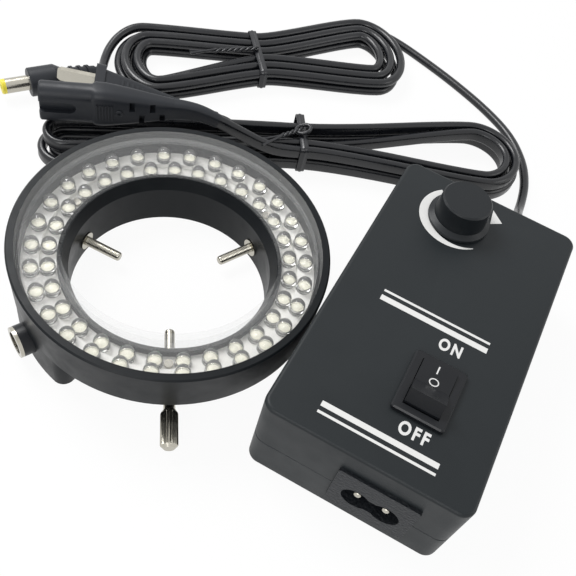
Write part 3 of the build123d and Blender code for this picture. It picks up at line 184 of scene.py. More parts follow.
def dressed(obj, body, slot, look=None):
    """Gives a new piece its body and its material, which is the look's if one is given, else the slot's."""
    obj.data.materials.append(finish[look or slot])
    bpy.context.collection.objects.link(obj)
    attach(obj, body)
    return obj


# Materials

EDGE_LIT_FROM, EDGE_LIT_TO = 0.52, 0.62  # pointiness of an edge where the painted edge highlight starts, and of an edge that has all of it
FACE_ON_ALPHA, UPRIGHT_ALPHA = 0.055, 0.14


def noise(nodes, links, vector, scale, detail=3.0, rough=0.55):
    node = nodes.new("ShaderNodeTexNoise")
    node.inputs["Scale"].default_value = scale
    node.inputs["Detail"].default_value = detail
    node.inputs["Roughness"].default_value = rough
    links.new(vector, node.inputs["Vector"])
    return node.outputs["Fac"]


def spread(nodes, links, value, low, high, start=0.3, end=0.7):
    """Maps a value that runs from start to end onto low to high."""
    node = nodes.new("ShaderNodeMapRange")
    node.inputs["From Min"].default_value = start
    node.inputs["From Max"].default_value = end
    node.inputs["To Min"].default_value = low
    node.inputs["To Max"].default_value = high
    links.new(value, node.inputs["Value"])
    return node.outputs["Result"]


def material(name, colour, rough, metal=0.0, vary=0.08, vary_scale=60.0, rough_vary=0.06,
             grain=0.0, grain_scale=4000.0, grain_depth=0.06, wear=None, **inputs):
    """A moulded, painted or plated surface with its own colour drift, sheen drift and grain, and if asked a painted
    highlight on its sharp edges.
    """
    made = bpy.data.materials.new(name)
    made.use_nodes = True
    nodes, links = made.node_tree.nodes, made.node_tree.links
    shader = nodes["Principled BSDF"]
    place = nodes.new("ShaderNodeTexCoord").outputs["Object"]
    drift = noise(nodes, links, place, vary_scale)
    mix = nodes.new("ShaderNodeMix")
    mix.data_type = "RGBA"
    mix.inputs["A"].default_value = (*[c * (1 - vary) for c in colour], 1)
    mix.inputs["B"].default_value = (*[min(1, c * (1 + vary)) for c in colour], 1)
    links.new(drift, mix.inputs["Factor"])
    shade = mix.outputs["Result"]
    # Sharp edges, found by their pointiness, are painted lighter: a painted edge highlight.
    if wear:
        edge = nodes.new("ShaderNodeNewGeometry").outputs["Pointiness"]
        amount = spread(nodes, links, edge, 0.0, wear, EDGE_LIT_FROM, EDGE_LIT_TO)
        edge_lit = nodes.new("ShaderNodeMix")
        edge_lit.data_type = "RGBA"
        links.new(amount, edge_lit.inputs["Factor"])
        links.new(shade, edge_lit.inputs["A"])
        edge_lit.inputs["B"].default_value = (*[min(1, c * 2.2 + 0.02) for c in colour], 1)
        shade = edge_lit.outputs["Result"]
    links.new(shade, shader.inputs["Base Color"])
    smear = noise(nodes, links, place, vary_scale * 3, 4.0)
    links.new(spread(nodes, links, smear, rough - rough_vary, rough + rough_vary), shader.inputs["Roughness"])
    shader.inputs["Metallic"].default_value = metal
    if grain:
        bump = nodes.new("ShaderNodeBump")
        bump.inputs["Strength"].default_value = grain
        bump.inputs["Distance"].default_value = grain_depth * MM
        links.new(noise(nodes, links, place, grain_scale, 2.0), bump.inputs["Height"])
        links.new(bump.outputs["Normal"], shader.inputs["Normal"])
    for key, value in inputs.items():
        shader.inputs[key.replace("_", " ")].default_value = value
    return made


def clear_level_faces(made):
    """Makes a material nearly unseen on level faces, and pale on the upright ones."""
    nodes, links = made.node_tree.nodes, made.node_tree.links
    split = nodes.new("ShaderNodeSeparateXYZ")
    links.new(nodes.new("ShaderNodeNewGeometry").outputs["Normal"], split.inputs["Vector"])
    level = nodes.new("ShaderNodeMath")
    level.operation = "ABSOLUTE"
    links.new(split.outputs["Z"], level.inputs[0])
    alpha = spread(nodes, links, level.outputs["Value"], UPRIGHT_ALPHA, FACE_ON_ALPHA, 0.1, 0.9)
    links.new(alpha, nodes["Principled BSDF"].inputs["Alpha"])


LOOKS = {
    "ring_black": dict(colour=(0.0065, 0.0080, 0.0095), rough=0.38, grain=0.25, wear=0.10,
                       Specular_IOR_Level=0.15),
    "clear_plastic": dict(colour=(0.97, 0.98, 0.98), rough=0.07, vary=0.02, rough_vary=0.03),
    "white_plastic": dict(colour=(0.92, 0.91, 0.87), rough=0.42, vary=0.03, grain=0.15),
    "board_green": dict(colour=(0.03, 0.16, 0.08), rough=0.35, vary=0.2, vary_scale=300),
    "lamp_clear": dict(colour=(0.97, 0.97, 0.95), rough=0.05, vary=0.02, rough_vary=0.03,
                       Transmission_Weight=0.92, IOR=1.42),
    "resistor_black": dict(colour=(0.03, 0.03, 0.035), rough=0.4, grain=0.2),
    "steel": dict(colour=(0.48, 0.46, 0.40), rough=0.22, metal=1.0, vary=0.05, vary_scale=150,
                  rough_vary=0.05, grain=0.08, grain_scale=2500),
    "black_plastic": dict(colour=(0.006, 0.007, 0.009), rough=0.36, grain=0.25, wear=0.10,
                          Specular_IOR_Level=0.3),
    "case_charcoal": dict(colour=(0.0105, 0.0135, 0.0155), rough=0.46, vary=0.05, vary_scale=35,
                          grain=0.55, grain_scale=3200, wear=0.12, Specular_IOR_Level=0.26),
    "switch_black": dict(colour=(0.006, 0.007, 0.009), rough=0.33, grain=0.2, wear=0.08,
                         Specular_IOR_Level=0.3),
    "knob_black": dict(colour=(0.008, 0.010, 0.012), rough=0.40, grain=0.4, grain_scale=3200,
                       wear=0.10, Specular_IOR_Level=0.26),
    "cord_black": dict(colour=(0.0040, 0.0048, 0.0070), rough=0.30, vary=0.15, vary_scale=120,
                       grain=0.25, grain_scale=1500, Specular_IOR_Level=0.5),
    "plug_black": dict(colour=(0.011, 0.013, 0.017), rough=0.45, vary=0.08, grain=0.4, wear=0.10,
                       Specular_IOR_Level=0.32),
    "tie_black": dict(colour=(0.008, 0.009, 0.012), rough=0.30, grain=0.2),
    "brass_tip": dict(colour=(0.72, 0.62, 0.05), rough=0.35, vary=0.06, grain=0.1),
    "board_brown": dict(colour=(0.3, 0.19, 0.09), rough=0.5, vary=0.2, vary_scale=400, grain=0.2),
    "part_yellow": dict(colour=(0.6, 0.45, 0.08), rough=0.45, vary=0.15, grain=0.2),
    "part_black": dict(colour=(0.05, 0.05, 0.06), rough=0.25),
    "glass_tube": dict(colour=(0.9, 0.92, 0.91), rough=0.05, vary=0.02, rough_vary=0.02,
                       Transmission_Weight=0.9),
    "aluminium": dict(colour=(0.62, 0.62, 0.62), rough=0.35, metal=1.0, vary=0.06, grain=0.1),
    "wire_red": dict(colour=(0.35, 0.03, 0.02), rough=0.35, vary=0.1),
    "print_white": dict(colour=(0.70, 0.70, 0.69), rough=0.55, vary=0.05, vary_scale=500, grain=0.25),
    "phosphor": dict(colour=(1.0, 0.95, 0.80), rough=0.5, vary=0.05, vary_scale=900),
    "cup_silver": dict(colour=(0.75, 0.75, 0.73), rough=0.22, metal=1.0, vary=0.06),
    "inlet_grain": dict(colour=(0.009, 0.011, 0.014), rough=0.5, vary=0.5, vary_scale=1400, grain=1.0,
                        grain_scale=1100, grain_depth=0.35, Specular_IOR_Level=0.30),
}
finish = {name: material(name, **look) for name, look in LOOKS.items()}
clear_level_faces(finish["clear_plastic"])

# The panel round the mains inlet has a coarser grain than its slot's other pieces.
NODE_LOOKS = {"inlet_body": "inlet_grain"}
for part in frame["record"]["subparts"]:
    shown = frame["nodes"][part["node"]]
    if not shown.material_slots:
        shown.data.materials.append(None)
    for slot in shown.material_slots:
        slot.link = "OBJECT"
        slot.material = finish[NODE_LOOKS.get(part["node"], part["material_slot"])]


# Cord routes

# A hank's strands cross its waist and turn round a lobe at each end. Lengths are from its centre.
DC_HANK = {
    "centre": (-29.0, 118.3), "azimuth": 39.7, "step": 4.6, "waist": 12.4, "waist_centre": -1.3, "flat": 5.0,
    "right": {"shoulder": 44.0, "half": 21.8, "tip": 61.5, "centre": 0.5},
    "left": {"shoulder": 44.0, "half": 19.85, "tip": 60.2, "centre": -2.85},
}
MAINS_HANK = {
    "centre": (1.6, 81.4), "azimuth": 32.4, "step": 3.85, "waist": 7.0, "waist_centre": -3.0, "flat": 15.0,
    "right": {"shoulder": 72.0, "half": 17.0, "tip": 90.5, "centre": -4.7},
    "left": {"shoulder": 80.3, "half": 9.5, "tip": 90.5, "centre": -8.4},
}
TURN_POINTS = 7
DC_R, DC_SIDES = 1.75, 14
DC_LOW, DC_HIGH = 2.6, 6.75
MAINS_THICK, MAINS_TALL = 3.0, 5.2
MAINS_LOW, MAINS_HIGH = 3.45, 9.15
GROOVE = 0.22

DC_PLUG_FACE = Vector((-91.6, 47.7, 5.4))
DC_PLUG_AZIMUTH, DC_PLUG_LENGTH = 53.0, 13.0
DC_RELIEF_TURN, DC_RELIEF_DIP = 13.0, 10.0
DC_RELIEF_LENGTH, DC_RELIEF_STEPS = 12.5, 4
DC_LEAD_OUT, MAINS_LEAD_OUT = 3.5, 3.2  # straight lengths of cord behind the plugs

WALL_PLUG_FACE = Vector((-67.1, 53.2, 9.3))
WALL_PLUG_AZIMUTH, WALL_PLUG_RISE, WALL_PLUG_ROLL = 29.1, -7.1, 12.0
WALL_PLUG_LENGTH = 46.6

CONNECTOR_ALONG, CONNECTOR_ACROSS, CONNECTOR_Z = -44.0, -3.8, 20.2
CONNECTOR_LENGTH = 45.5


def hank_point(hank, along, across, height):
    """A place on a hank, from its lengths along and across it."""
    turn = radians(hank["azimuth"])
    return Vector((
        hank["centre"][0] + along * cos(turn) - across * sin(turn),
        hank["centre"][1] + along * sin(turn) + across * cos(turn),
        height,
    ))


def lobe(hank, end):
    return hank["right"] if end > 0 else hank["left"]


def lobe_across(hank, end, side, lane):
    """How far across the hank a strand lies at the shoulder of a lobe."""
    return lobe(hank, end)["centre"] + side * (lobe(hank, end)["half"] - lane * hank["step"])


def shoulder_point(hank, end, side, lane, height):
    """Where a strand leaves its straight run and enters the lobe."""
    return hank_point(hank, end * lobe(hank, end)["shoulder"], lobe_across(hank, end, side, lane), height)


def turn_points(hank, end, side, lane, next_lane, height):
    """Control points of the half ellipse that leads from one run to the next."""
    shape = lobe(hank, end)
    start = lobe_across(hank, end, side, lane)
    middle = (start + lobe_across(hank, end, -side, next_lane)) / 2
    reach = shape["tip"] - (lane + next_lane) / 2 * hank["step"] - shape["shoulder"]
    last = TURN_POINTS - 1
    points = []
    for k in range(TURN_POINTS):
        turn = pi * k / last
        grow = 1 if k in (0, last) else 1 / cos(pi / last / 2)
        along = end * (shape["shoulder"] + reach * grow * sin(turn))
        points.append(hank_point(hank, along, middle + (start - middle) * cos(turn) * grow, height))
    return points


def hank_points(hank, runs, shoulders=True):
    """Control points of a hank, with or without its first and last shoulder.

    A run is (side, lane, height): the end that it comes from, how many steps it lies inside the
    outermost strand, and its height.
    """
    points = [shoulder_point(hank, runs[0][0], *runs[0])] if shoulders else []
    for index, (side, lane, height) in enumerate(runs):
        across = hank["waist_centre"] + side * (hank["waist"] - lane * hank["step"])
        points.append(hank_point(hank, side * hank["flat"], across, height))
        points.append(hank_point(hank, -side * hank["flat"], across, height))
        if index + 1 < len(runs):
            points += turn_points(hank, -side, side, lane, runs[index + 1][1], height)
        elif shoulders:
            points.append(shoulder_point(hank, -side, side, lane, height))
    return points


def way(azimuth, rise):
    """A direction, from its azimuth and its rise in degrees."""
    a, e = radians(azimuth), radians(rise)
    return Vector((cos(a) * cos(e), sin(a) * cos(e), sin(e)))


dc_relief_end = DC_PLUG_FACE + way(DC_PLUG_AZIMUTH, 0.0) * DC_PLUG_LENGTH
for k in range(DC_RELIEF_STEPS):
    share = (k + 0.5) / DC_RELIEF_STEPS
    bend = way(DC_PLUG_AZIMUTH + DC_RELIEF_TURN * share, -DC_RELIEF_DIP * share)
    dc_relief_end += bend * DC_RELIEF_LENGTH / DC_RELIEF_STEPS
dc_relief_way = way(DC_PLUG_AZIMUTH + DC_RELIEF_TURN, -DC_RELIEF_DIP)

wall_way = way(WALL_PLUG_AZIMUTH, WALL_PLUG_RISE)
wall_level = Vector((-sin(radians(WALL_PLUG_AZIMUTH)), cos(radians(WALL_PLUG_AZIMUTH)), 0))
wall_roll = radians(WALL_PLUG_ROLL)
wall_across = wall_level * cos(wall_roll) + wall_way.cross(wall_level) * sin(wall_roll)
wall_up = wall_way.cross(wall_across)
wall_end = WALL_PLUG_FACE + wall_way * WALL_PLUG_LENGTH

connector_end = hank_point(MAINS_HANK, CONNECTOR_ALONG, CONNECTOR_ACROSS, CONNECTOR_Z)
connector_way = way(MAINS_HANK["azimuth"], 0.0)
connector_out = connector_way.cross(UP)
connector_nose = connector_end - connector_way * CONNECTOR_LENGTH

# From the box's back wall down to the ground, round to the hank, and on to the plug.
dc_route = [Vector(p) for p in [
    (91.0, 80.6, 14.0), (91.0, 87.6, 14.0), (91.0, 95.0, 9.6), (91.1, 102.5, 4.0), (91.0, 111.5, DC_R),
    (89.4, 121.8, DC_R), (85.0, 133.4, DC_R), (75.5, 145.6, DC_R), (61.0, 154.6, DC_R), (43.8, 161.9, DC_R),
    (28.3, 167.0, DC_R), (14.0, 170.8, 1.9), (4.2, 171.4, 2.3),
]]
dc_route.append(hank_point(DC_HANK, 51.0, 22.3, DC_LOW))
dc_route += hank_points(DC_HANK, [
    (1, 0, DC_LOW), (-1, 1 / 2, DC_LOW), (1, 1, DC_LOW), (-1, 3 / 2, DC_LOW), (1, 2, DC_LOW),
    (-1, 5 / 2, DC_HIGH),
    (1, 2, DC_HIGH), (-1, 3 / 2, DC_HIGH), (1, 1, DC_HIGH), (-1, 1 / 2, DC_HIGH), (1, 0, DC_HIGH),
])
dc_route += [hank_point(DC_HANK, *p) for p in [
    (-51.0, 17.0, DC_HIGH), (-57.4, 13.7, 5.3), (-62.0, 7.7, 3.7), (-64.5, 1.0, 3.0),
]]
dc_route += [dc_relief_end + dc_relief_way * DC_LEAD_OUT, dc_relief_end]

# From the connector down into the middle of the hank's first run, and on to the wall plug.
mains_route = [connector_end]
mains_route += [hank_point(MAINS_HANK, *p) for p in [
    (-37.5, CONNECTOR_ACROSS, CONNECTOR_Z), (-29.5, -6.0, 18.8), (-20.5, -8.6, 15.6), (-11.0, -10.0, 11.3),
    (-4.0, -10.0, MAINS_HIGH),
]]
mains_route += hank_points(MAINS_HANK, [
    (-1, 0, MAINS_HIGH), (1, 1 / 2, MAINS_HIGH), (-1, 1, MAINS_HIGH),
    (1, 3 / 2, MAINS_LOW),
    (-1, 1, MAINS_LOW), (1, 1 / 2, MAINS_LOW), (-1, 0, MAINS_LOW), (1, -1 / 2, MAINS_LOW),
], shoulders=False)[1:]
mains_route += [hank_point(MAINS_HANK, -20.2, 5.925, MAINS_LOW), wall_end + wall_way * MAINS_LEAD_OUT, wall_end]


# Cords

def route_path(name, points):
    """Points on the spline through a route, in metres."""
    curve = bpy.data.curves.new(name, "CURVE")
    curve.dimensions = "3D"
    spline = curve.splines.new("NURBS")
    spline.points.add(len(points) - 1)
    for place, point in zip(spline.points, points):
        place.co = (*(point * MM), 1)
    spline.order_u = 3
    spline.use_endpoint_u = True
    spline.resolution_u = 6
    curve.resolution_u = 6
    line = bpy.data.objects.new(name, curve)
    bpy.context.collection.objects.link(line)
    mesh = bpy.data.meshes.new_from_object(line)
    path = [v.co.copy() for v in mesh.vertices]
    bpy.data.objects.remove(line)
    return path


def twin_section(thick, tall, groove, count=28):
    """Outline of a two-core flat lead, across and up, with a shallow groove along its middle."""
    outline = []
    r = thick / 2
    offset = tall / 2 - r
    groove_half = offset * 1.2 + 0.01
    for k in range(count):
        a = 2 * pi * k / count
        x, y = r * cos(a), r * sin(a)
        y += offset if y > 1e-6 else -offset if y < -1e-6 else 0
        pinch = groove * max(0.0, 1 - abs(y) / groove_half)
        outline.append((x - pinch * (1 if x > 0 else -1), y))
    return outline


def ring_across(point, along, outline):
    """An outline set across a path at one of its points, in metres."""
    across = along.cross(UP).normalized()
    lift = across.cross(along)
    return [point + across * x * MM + lift * y * MM for x, y in outline]


def tube(name, path, outline):
    rings = []
    for k, point in enumerate(path):
        before, after = path[max(0, k - 1)], path[min(len(path) - 1, k + 1)]
        rings.append(ring_across(point, (after - before).normalized(), outline))
    return rings_mesh(name, rings, sharp=60.0)


dc_path = route_path("dc_line", dc_route)
mains_path = route_path("mains_line", mains_route)
turns = [2 * pi * k / DC_SIDES for k in range(DC_SIDES)]
round_section = [(DC_R * cos(a), DC_R * sin(a)) for a in turns]
dc_cord = dressed(tube("dc_cord", dc_path, round_section), "base", "cord_black")
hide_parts("dc_cord_lead", "dc_cord_hank", "dc_cord_tail")
mains_cord = dressed(tube("mains_cord", mains_path, twin_section(MAINS_THICK, MAINS_TALL, GROOVE)),
                     "base", "cord_black")
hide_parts("connector_lead", "mains_cord_hank", "wall_plug_lead")


# Lamp cups with their phosphor, seen through each lamp's clear body

LAMP_ROWS = (  # radius, height of the lamps' bed, azimuth of the first lamp, number of lamps
    (41.6, 18.2, 6.0, 30),
    (36.8, 16.4, 294.5, 29),
)
LAMP_INSIDES = {
    "lamp_cups": ("cup_silver", [(0.9, 0.0), (0.9, 0.75), (1.55, 1.15), (1.7, 1.25), (0.8, 1.25)]),
    "lamp_phosphor": ("phosphor", [(1.2, 1.2), (1.6, 1.05), (1.85, 0.6), (1.95, 0.0)]),
}


def polar(radius, azimuth, height):
    """A place round the ring's axis."""
    return Vector((radius * cos(radians(azimuth)), radius * sin(radians(azimuth)), height))


for name, (look, profile) in LAMP_INSIDES.items():
    bm = bmesh.new()
    for radius, bed, first, count in LAMP_ROWS:
        for k in range(count):
            lathe_into(bm, polar(radius, first + 360 / count * k, bed), UP, profile)
    dressed(smooth_mesh(bm, name), "base", "lamp_clear", look)


# Threads on the thumbscrews

SCREW_AZIMUTHS = {"front": 302.0, "left": 182.0, "back": 62.0}
THREAD_FROM, THREAD_TO, THREAD_Z = 19.4, 43.0, 5.0
THREAD_PITCH, THREAD_SIDES = 0.5, 20
THREAD_FLANK, THREAD_ROOT_R, THREAD_CREST_R = 0.225, 1.46, 1.60

for place, azimuth in SCREW_AZIMUTHS.items():
    out = polar(1.0, azimuth, 0.0)
    across = Vector((-out.y, out.x, 0))
    profile = ((-THREAD_FLANK, THREAD_ROOT_R), (0.0, THREAD_CREST_R), (THREAD_FLANK, THREAD_ROOT_R))
    bm = bmesh.new()
    rows = []
    for k in range(int((THREAD_TO - THREAD_FROM) / THREAD_PITCH * THREAD_SIDES) + 1):
        a = 2 * pi * k / THREAD_SIDES
        spot = out * (THREAD_FROM + THREAD_PITCH * k / THREAD_SIDES) + UP * THREAD_Z
        radial = across * cos(a) + UP * sin(a)
        rows.append([bm.verts.new((spot + out * shift + radial * r) * MM) for shift, r in profile])
    for a, b in zip(rows, rows[1:]):
        for k in range(2):
            bm.faces.new((a[k], b[k], b[k + 1], a[k + 1]))
    dressed(smooth_mesh(bm, "thread_" + place), "screw_" + place, "steel")


# Prints on the case

CASE_TOP = 32.8
PRINT_THICK = 0.04
LINE_LEFT, LINE_RIGHT = 62.3, 96.2
LINES = ((15.3, 0.8), (12.5, 1.9), (-28.1, 1.7), (-30.7, 0.8))  # middle and width of each
TRIANGLE = [(80.7, 66.2), (81.6, 59.8), (85.0, 62.3)]
KNOB_CENTRE = Vector((71.8, 55.0))
# The wedge lies between two circles whose centres are apart, so it grows along the turn.
WEDGE_CIRCLES = ((Vector((71.4, 55.15)), 12.5), (Vector((73.4, 55.3)), 11.0))
WEDGE_FROM, WEDGE_TURN, WEDGE_STEPS = 134, 180, 48
WEDGE_THINNEST = 0.12
LETTER_WEIGHT, LETTER_SPACE = 0.036, 1.3


def print_shape(bm, outline):
    """Adds a flat shape on the case's top."""
    top = [bm.verts.new((x * MM, y * MM, (CASE_TOP + PRINT_THICK) * MM)) for x, y in outline]
    low = [bm.verts.new((x * MM, y * MM, (CASE_TOP - PRINT_THICK) * MM)) for x, y in outline]
    bm.faces.new(top)
    bridge(bm, low, top)


def print_word(name, text, low, high):
    """Upright bold capitals that fill the rectangle from low to high on the case's top."""
    curve = bpy.data.curves.new(name, "FONT")
    curve.body = text
    curve.offset = LETTER_WEIGHT
    curve.space_character = LETTER_SPACE
    curve.extrude = PRINT_THICK * MM
    curve.resolution_u = 6
    drawn = bpy.data.objects.new(name + "_outline", curve)
    bpy.context.collection.objects.link(drawn)
    mesh = bpy.data.meshes.new_from_object(drawn)
    bpy.data.objects.remove(drawn)
    for axis in (0, 1):
        places = [v.co[axis] for v in mesh.vertices]
        start, size = min(places), max(places) - min(places)
        for vert, place in zip(mesh.vertices, places):
            vert.co[axis] = (low[axis] + (place - start) / size * (high[axis] - low[axis])) * MM
    for vert in mesh.vertices:
        vert.co.z += CASE_TOP * MM
    mesh.materials.clear()
    dressed(bpy.data.objects.new(name, mesh), "base", "case_charcoal", "print_white")


bm = bmesh.new()
for y, wide in LINES:
    front, back = y - wide / 2, y + wide / 2
    print_shape(bm, [(LINE_LEFT, front), (LINE_RIGHT, front), (LINE_RIGHT, back), (LINE_LEFT, back)])
print_shape(bm, TRIANGLE)
dressed(smooth_mesh(bm, "case_lines"), "base", "case_charcoal", "print_white")

outer, inner = [], []
for k in range(WEDGE_STEPS + 1):
    a = radians(WEDGE_FROM + WEDGE_TURN * k / WEDGE_STEPS)
    ray = Vector((cos(a), sin(a)))
    reach = []
    for centre, r in WEDGE_CIRCLES:
        offset = centre - KNOB_CENTRE
        b = ray.dot(offset)
        reach.append(b + sqrt(b * b - offset.length_squared + r * r))
    outer.append(KNOB_CENTRE + ray * reach[0])
    inner.append(KNOB_CENTRE + ray * min(reach[1], reach[0] - WEDGE_THINNEST))
bm = bmesh.new()
print_shape(bm, outer + inner[::-1])
dressed(smooth_mesh(bm, "dimmer_wedge"), "base", "case_charcoal", "print_white")

print_word("word_on", "ON", (83.0, 5.4), (89.9, 9.7))
print_word("word_off", "OFF", (82.7, -25.0), (91.4, -20.7))


# Marks on the rocker's two faces

ROCKER_PIVOT = Vector((86.1, -9.2, 33.0))
ROCKER_TILT = -15
ROCKER_CREASE, ROCKER_RISE, ROCKER_HALF = 2.0, 2.55, 7.0
MARK_LIFT = 0.03
CIRCLE_Y, CIRCLE_OUTER, CIRCLE_INNER = 1.35, (1.45, 1.15), (1.12, 0.84)
CIRCLE_SIDES = 32


def rocker_mark(name, outline_rows):
    """A thin mark on the rocker, drawn as the strip between rows of places on it."""
    bm = bmesh.new()
    rows = [[bm.verts.new(Vector((x, y, ROCKER_CREASE + ROCKER_RISE * abs(y) / ROCKER_HALF + MARK_LIFT)) * MM)
             for x, y in row] for row in outline_rows]
    for a, b in zip(rows, rows[1:]):
        for k in range(len(a) - 1):
            bm.faces.new((a[k], a[k + 1], b[k + 1], b[k]))
    bmesh.ops.remove_doubles(bm, verts=bm.verts, dist=1e-7)
    bm.transform(Matrix.Translation(ROCKER_PIVOT * MM) @ Matrix.Rotation(radians(ROCKER_TILT), 4, "X"))
    dressed(smooth_mesh(bm, name), "rocker", "switch_black", "print_white")


turns = [2 * pi * k / CIRCLE_SIDES for k in range(CIRCLE_SIDES + 1)]
rocker_mark("mark_line", [[(-0.5, 3.9), (-0.1, 3.9)], [(-0.5, 6.2), (-0.1, 6.2)]])
rocker_mark("mark_circle", [[(r[0] * cos(a), CIRCLE_Y + r[1] * sin(a)) for a in turns]
                            for r in (CIRCLE_OUTER, CIRCLE_INNER)])


# Twist ties: a ribbon with its wire core round each hank, and twisted ends

# A tie is at one place along its hank, round the strands from near to far and up to top. Its ends
# start at a place across and a height, and wind to a place along and across. One turn takes a
# pitch, and from a share of their length on they part.
DC_TIE = dict(along=-3.0, near=-13.15, far=12.85, top=8.5, ends_at=(-0.15, 10.1), ends_to=(-31.4, -2.5),
              pitch=5.0, part_from=0.66, part_by=1.4)
MAINS_TIE = dict(along=4.0, near=-11.5, far=7.425, top=11.75, ends_at=(-2.04, 13.4), ends_to=(-12.2, -10.5),
                 pitch=4.2, part_from=0.55, part_by=1.3)
BAND_GAP, BAND_HALF, BAND_CORNER = 0.12, 0.35, 1.6
BAND_CORNER_STEPS = 6
BAND_SECTION = (  # along the hank, and out from the ribbon's middle
    (-1.5, -0.22), (-1.5, 0.12), (-0.55, 0.14), (-0.3, 0.35),
    (0.3, 0.35), (0.55, 0.14), (1.5, 0.12), (1.5, -0.22),
)
END_R, END_STEPS = 0.5, 60
END_ORBIT_ACROSS, END_ORBIT_UP = 0.52, 0.45
KNOT_CENTRE, KNOT_HALF = (4.0, -2.6, 13.8), (2.6, 2.2, 0.9)
KNOT_R, KNOT_STEPS = 0.75, 24


def band_into(bm, hank, tie):
    """Adds the ribbon: a rounded loop round the strands."""
    low, high = BAND_HALF, tie["top"] + BAND_GAP + BAND_HALF
    left, right = tie["near"] - BAND_GAP - BAND_HALF, tie["far"] + BAND_GAP + BAND_HALF
    rows = []
    for x, z, start in ((right, high, 0), (left, high, 90), (left, low, 180), (right, low, 270)):
        x += BAND_CORNER if x == left else -BAND_CORNER
        z += BAND_CORNER if z == low else -BAND_CORNER
        for k in range(BAND_CORNER_STEPS + 1):
            a = radians(start + 90 / BAND_CORNER_STEPS * k)
            across, height = x + BAND_CORNER * cos(a), z + BAND_CORNER * sin(a)
            places = [(tie["along"] + s, across + cos(a) * d, height + sin(a) * d) for s, d in BAND_SECTION]
            rows.append([bm.verts.new(hank_point(hank, *place) * MM) for place in places])
    for a, b in zip(rows, rows[1:] + rows[:1]):
        bridge(bm, a, b)


def ends_into(bm, hank, tie):
    """Adds the two ends: they wind round each other, and then part."""
    start, height = (tie["along"], tie["ends_at"][0]), tie["ends_at"][1]
    run = tie["ends_to"][0] - start[0], tie["ends_to"][1] - start[1]
    length = sqrt(run[0] ** 2 + run[1] ** 2)
    lines = [], []
    for k in range(END_STEPS + 1):
        t = k / END_STEPS
        a = 2 * pi * length * min(t, tie["part_from"]) / tie["pitch"]
        off_across, off_up = END_ORBIT_ACROSS * cos(a), END_ORBIT_UP * sin(a)
        part = max(0.0, t - tie["part_from"]) / (1 - tie["part_from"]) * tie["part_by"]
        off_across += part if off_across >= 0 else -part
        for line, side in zip(lines, (1, -1)):
            line.append(hank_point(hank, start[0] + run[0] * t, start[1] + run[1] * t + side * off_across,
                                   height + side * off_up))
    for line in lines:
        tube_along(bm, line, END_R)


bm = bmesh.new()
band_into(bm, DC_HANK, DC_TIE)
ends_into(bm, DC_HANK, DC_TIE)
dc_tie = dressed(smooth_mesh(bm, "dc_tie", 50), "base", "tie_black")
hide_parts("dc_cord_tie")

bm = bmesh.new()
band_into(bm, MAINS_HANK, MAINS_TIE)
ends_into(bm, MAINS_HANK, MAINS_TIE)
knot = []
for k in range(KNOT_STEPS):
    a = 2 * pi * k / KNOT_STEPS
    circle = (cos(a), sin(a), cos(a))
    knot.append(hank_point(MAINS_HANK, *[c + half * turn for c, half, turn in zip(KNOT_CENTRE, KNOT_HALF, circle)]))
tube_along(bm, knot, KNOT_R, closed=True)
mains_tie = dressed(smooth_mesh(bm, "mains_tie", 50), "base", "tie_black")
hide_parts("mains_cord_tie")


# Small two-pole connector, with its recess, slots and ribs

CONNECTOR_RINGS = (  # distance from the nose, height, width and corner
    (0.0, 14.2, 7.2, 3.5), (0.15, 14.6, 7.6, 3.7), (0.5, 15.0, 8.0, 3.9), (17.4, 15.0, 8.0, 3.9),
    (18.0, 15.2, 8.5, 3.4), (18.8, 15.4, 8.9, 3.1), (22.0, 15.2, 8.9, 3.0), (26.0, 14.0, 8.5, 2.9),
    (31.0, 12.2, 7.8, 2.6), (37.0, 10.0, 6.7, 2.3), (42.0, 8.4, 5.7, 2.0), (45.5, 7.2, 4.9, 1.7),
)
RECESS_LENGTH, RECESS_MIDDLE, RECESS_HALF = 10.0, 0.5, 2.2
RECESS_FLOOR, RECESS_OPEN = 2.2, 6.2
CUT_PAST = 1.0  # how far the cutters start before the nose
SLOTS = (  # distance from the nose, low and high edge, half of the body's width there
    (31.0, 0.9, 4.6, 3.9), (34.4, -4.6, -0.9, 3.6), (38.0, 0.5, 3.8, 3.25), (41.4, -3.6, -0.5, 2.9),
)
SLOT_HALF, SLOT_DEPTH, SLOT_PAST = 0.9, 1.9, 2.0
SOCKET_OFFSET, SOCKET_R, SOCKET_DEPTH = 3.44, 1.5, 10.0
RIB_COUNT, RIB_FROM, RIB_PITCH, RIB_WIDTH = 6, 18.9, 1.0, 0.5
RIB_HALF, RIB_FOOT, RIB_CREST = 3.4, 4.0, 4.85
BUTTON_ALONG, BUTTON_FOOT = 26.6, 3.8
BUTTON = [(0, 1.35), (0.62, 1.35), (0.75, 1.2), (0.75, 0.6), (0.3, 0.5), (0.3, 0)]
RELIEF_LENGTH, RELIEF_CORNER = 17.0, 1.6
RELIEF_END, RELIEF_GROWTH = (5.4, 3.3), (1.8, 1.6)


def connector_spot(along, tall, across):
    return (connector_nose + connector_way * along + UP * tall + connector_out * across) * MM


def rounded(tall, thick, corner, count=6):
    """Outline of a rounded rectangle."""
    outline = []
    corner = min(corner, tall / 2, thick / 2) - 0.001
    for index, (sx, sy) in enumerate(((1, 1), (-1, 1), (-1, -1), (1, -1))):
        for k in range(count + 1):
            a = pi / 2 * (index + k / count)
            outline.append((sx * (tall / 2 - corner) + corner * cos(a),
                            sy * (thick / 2 - corner) + corner * sin(a)))
    return outline


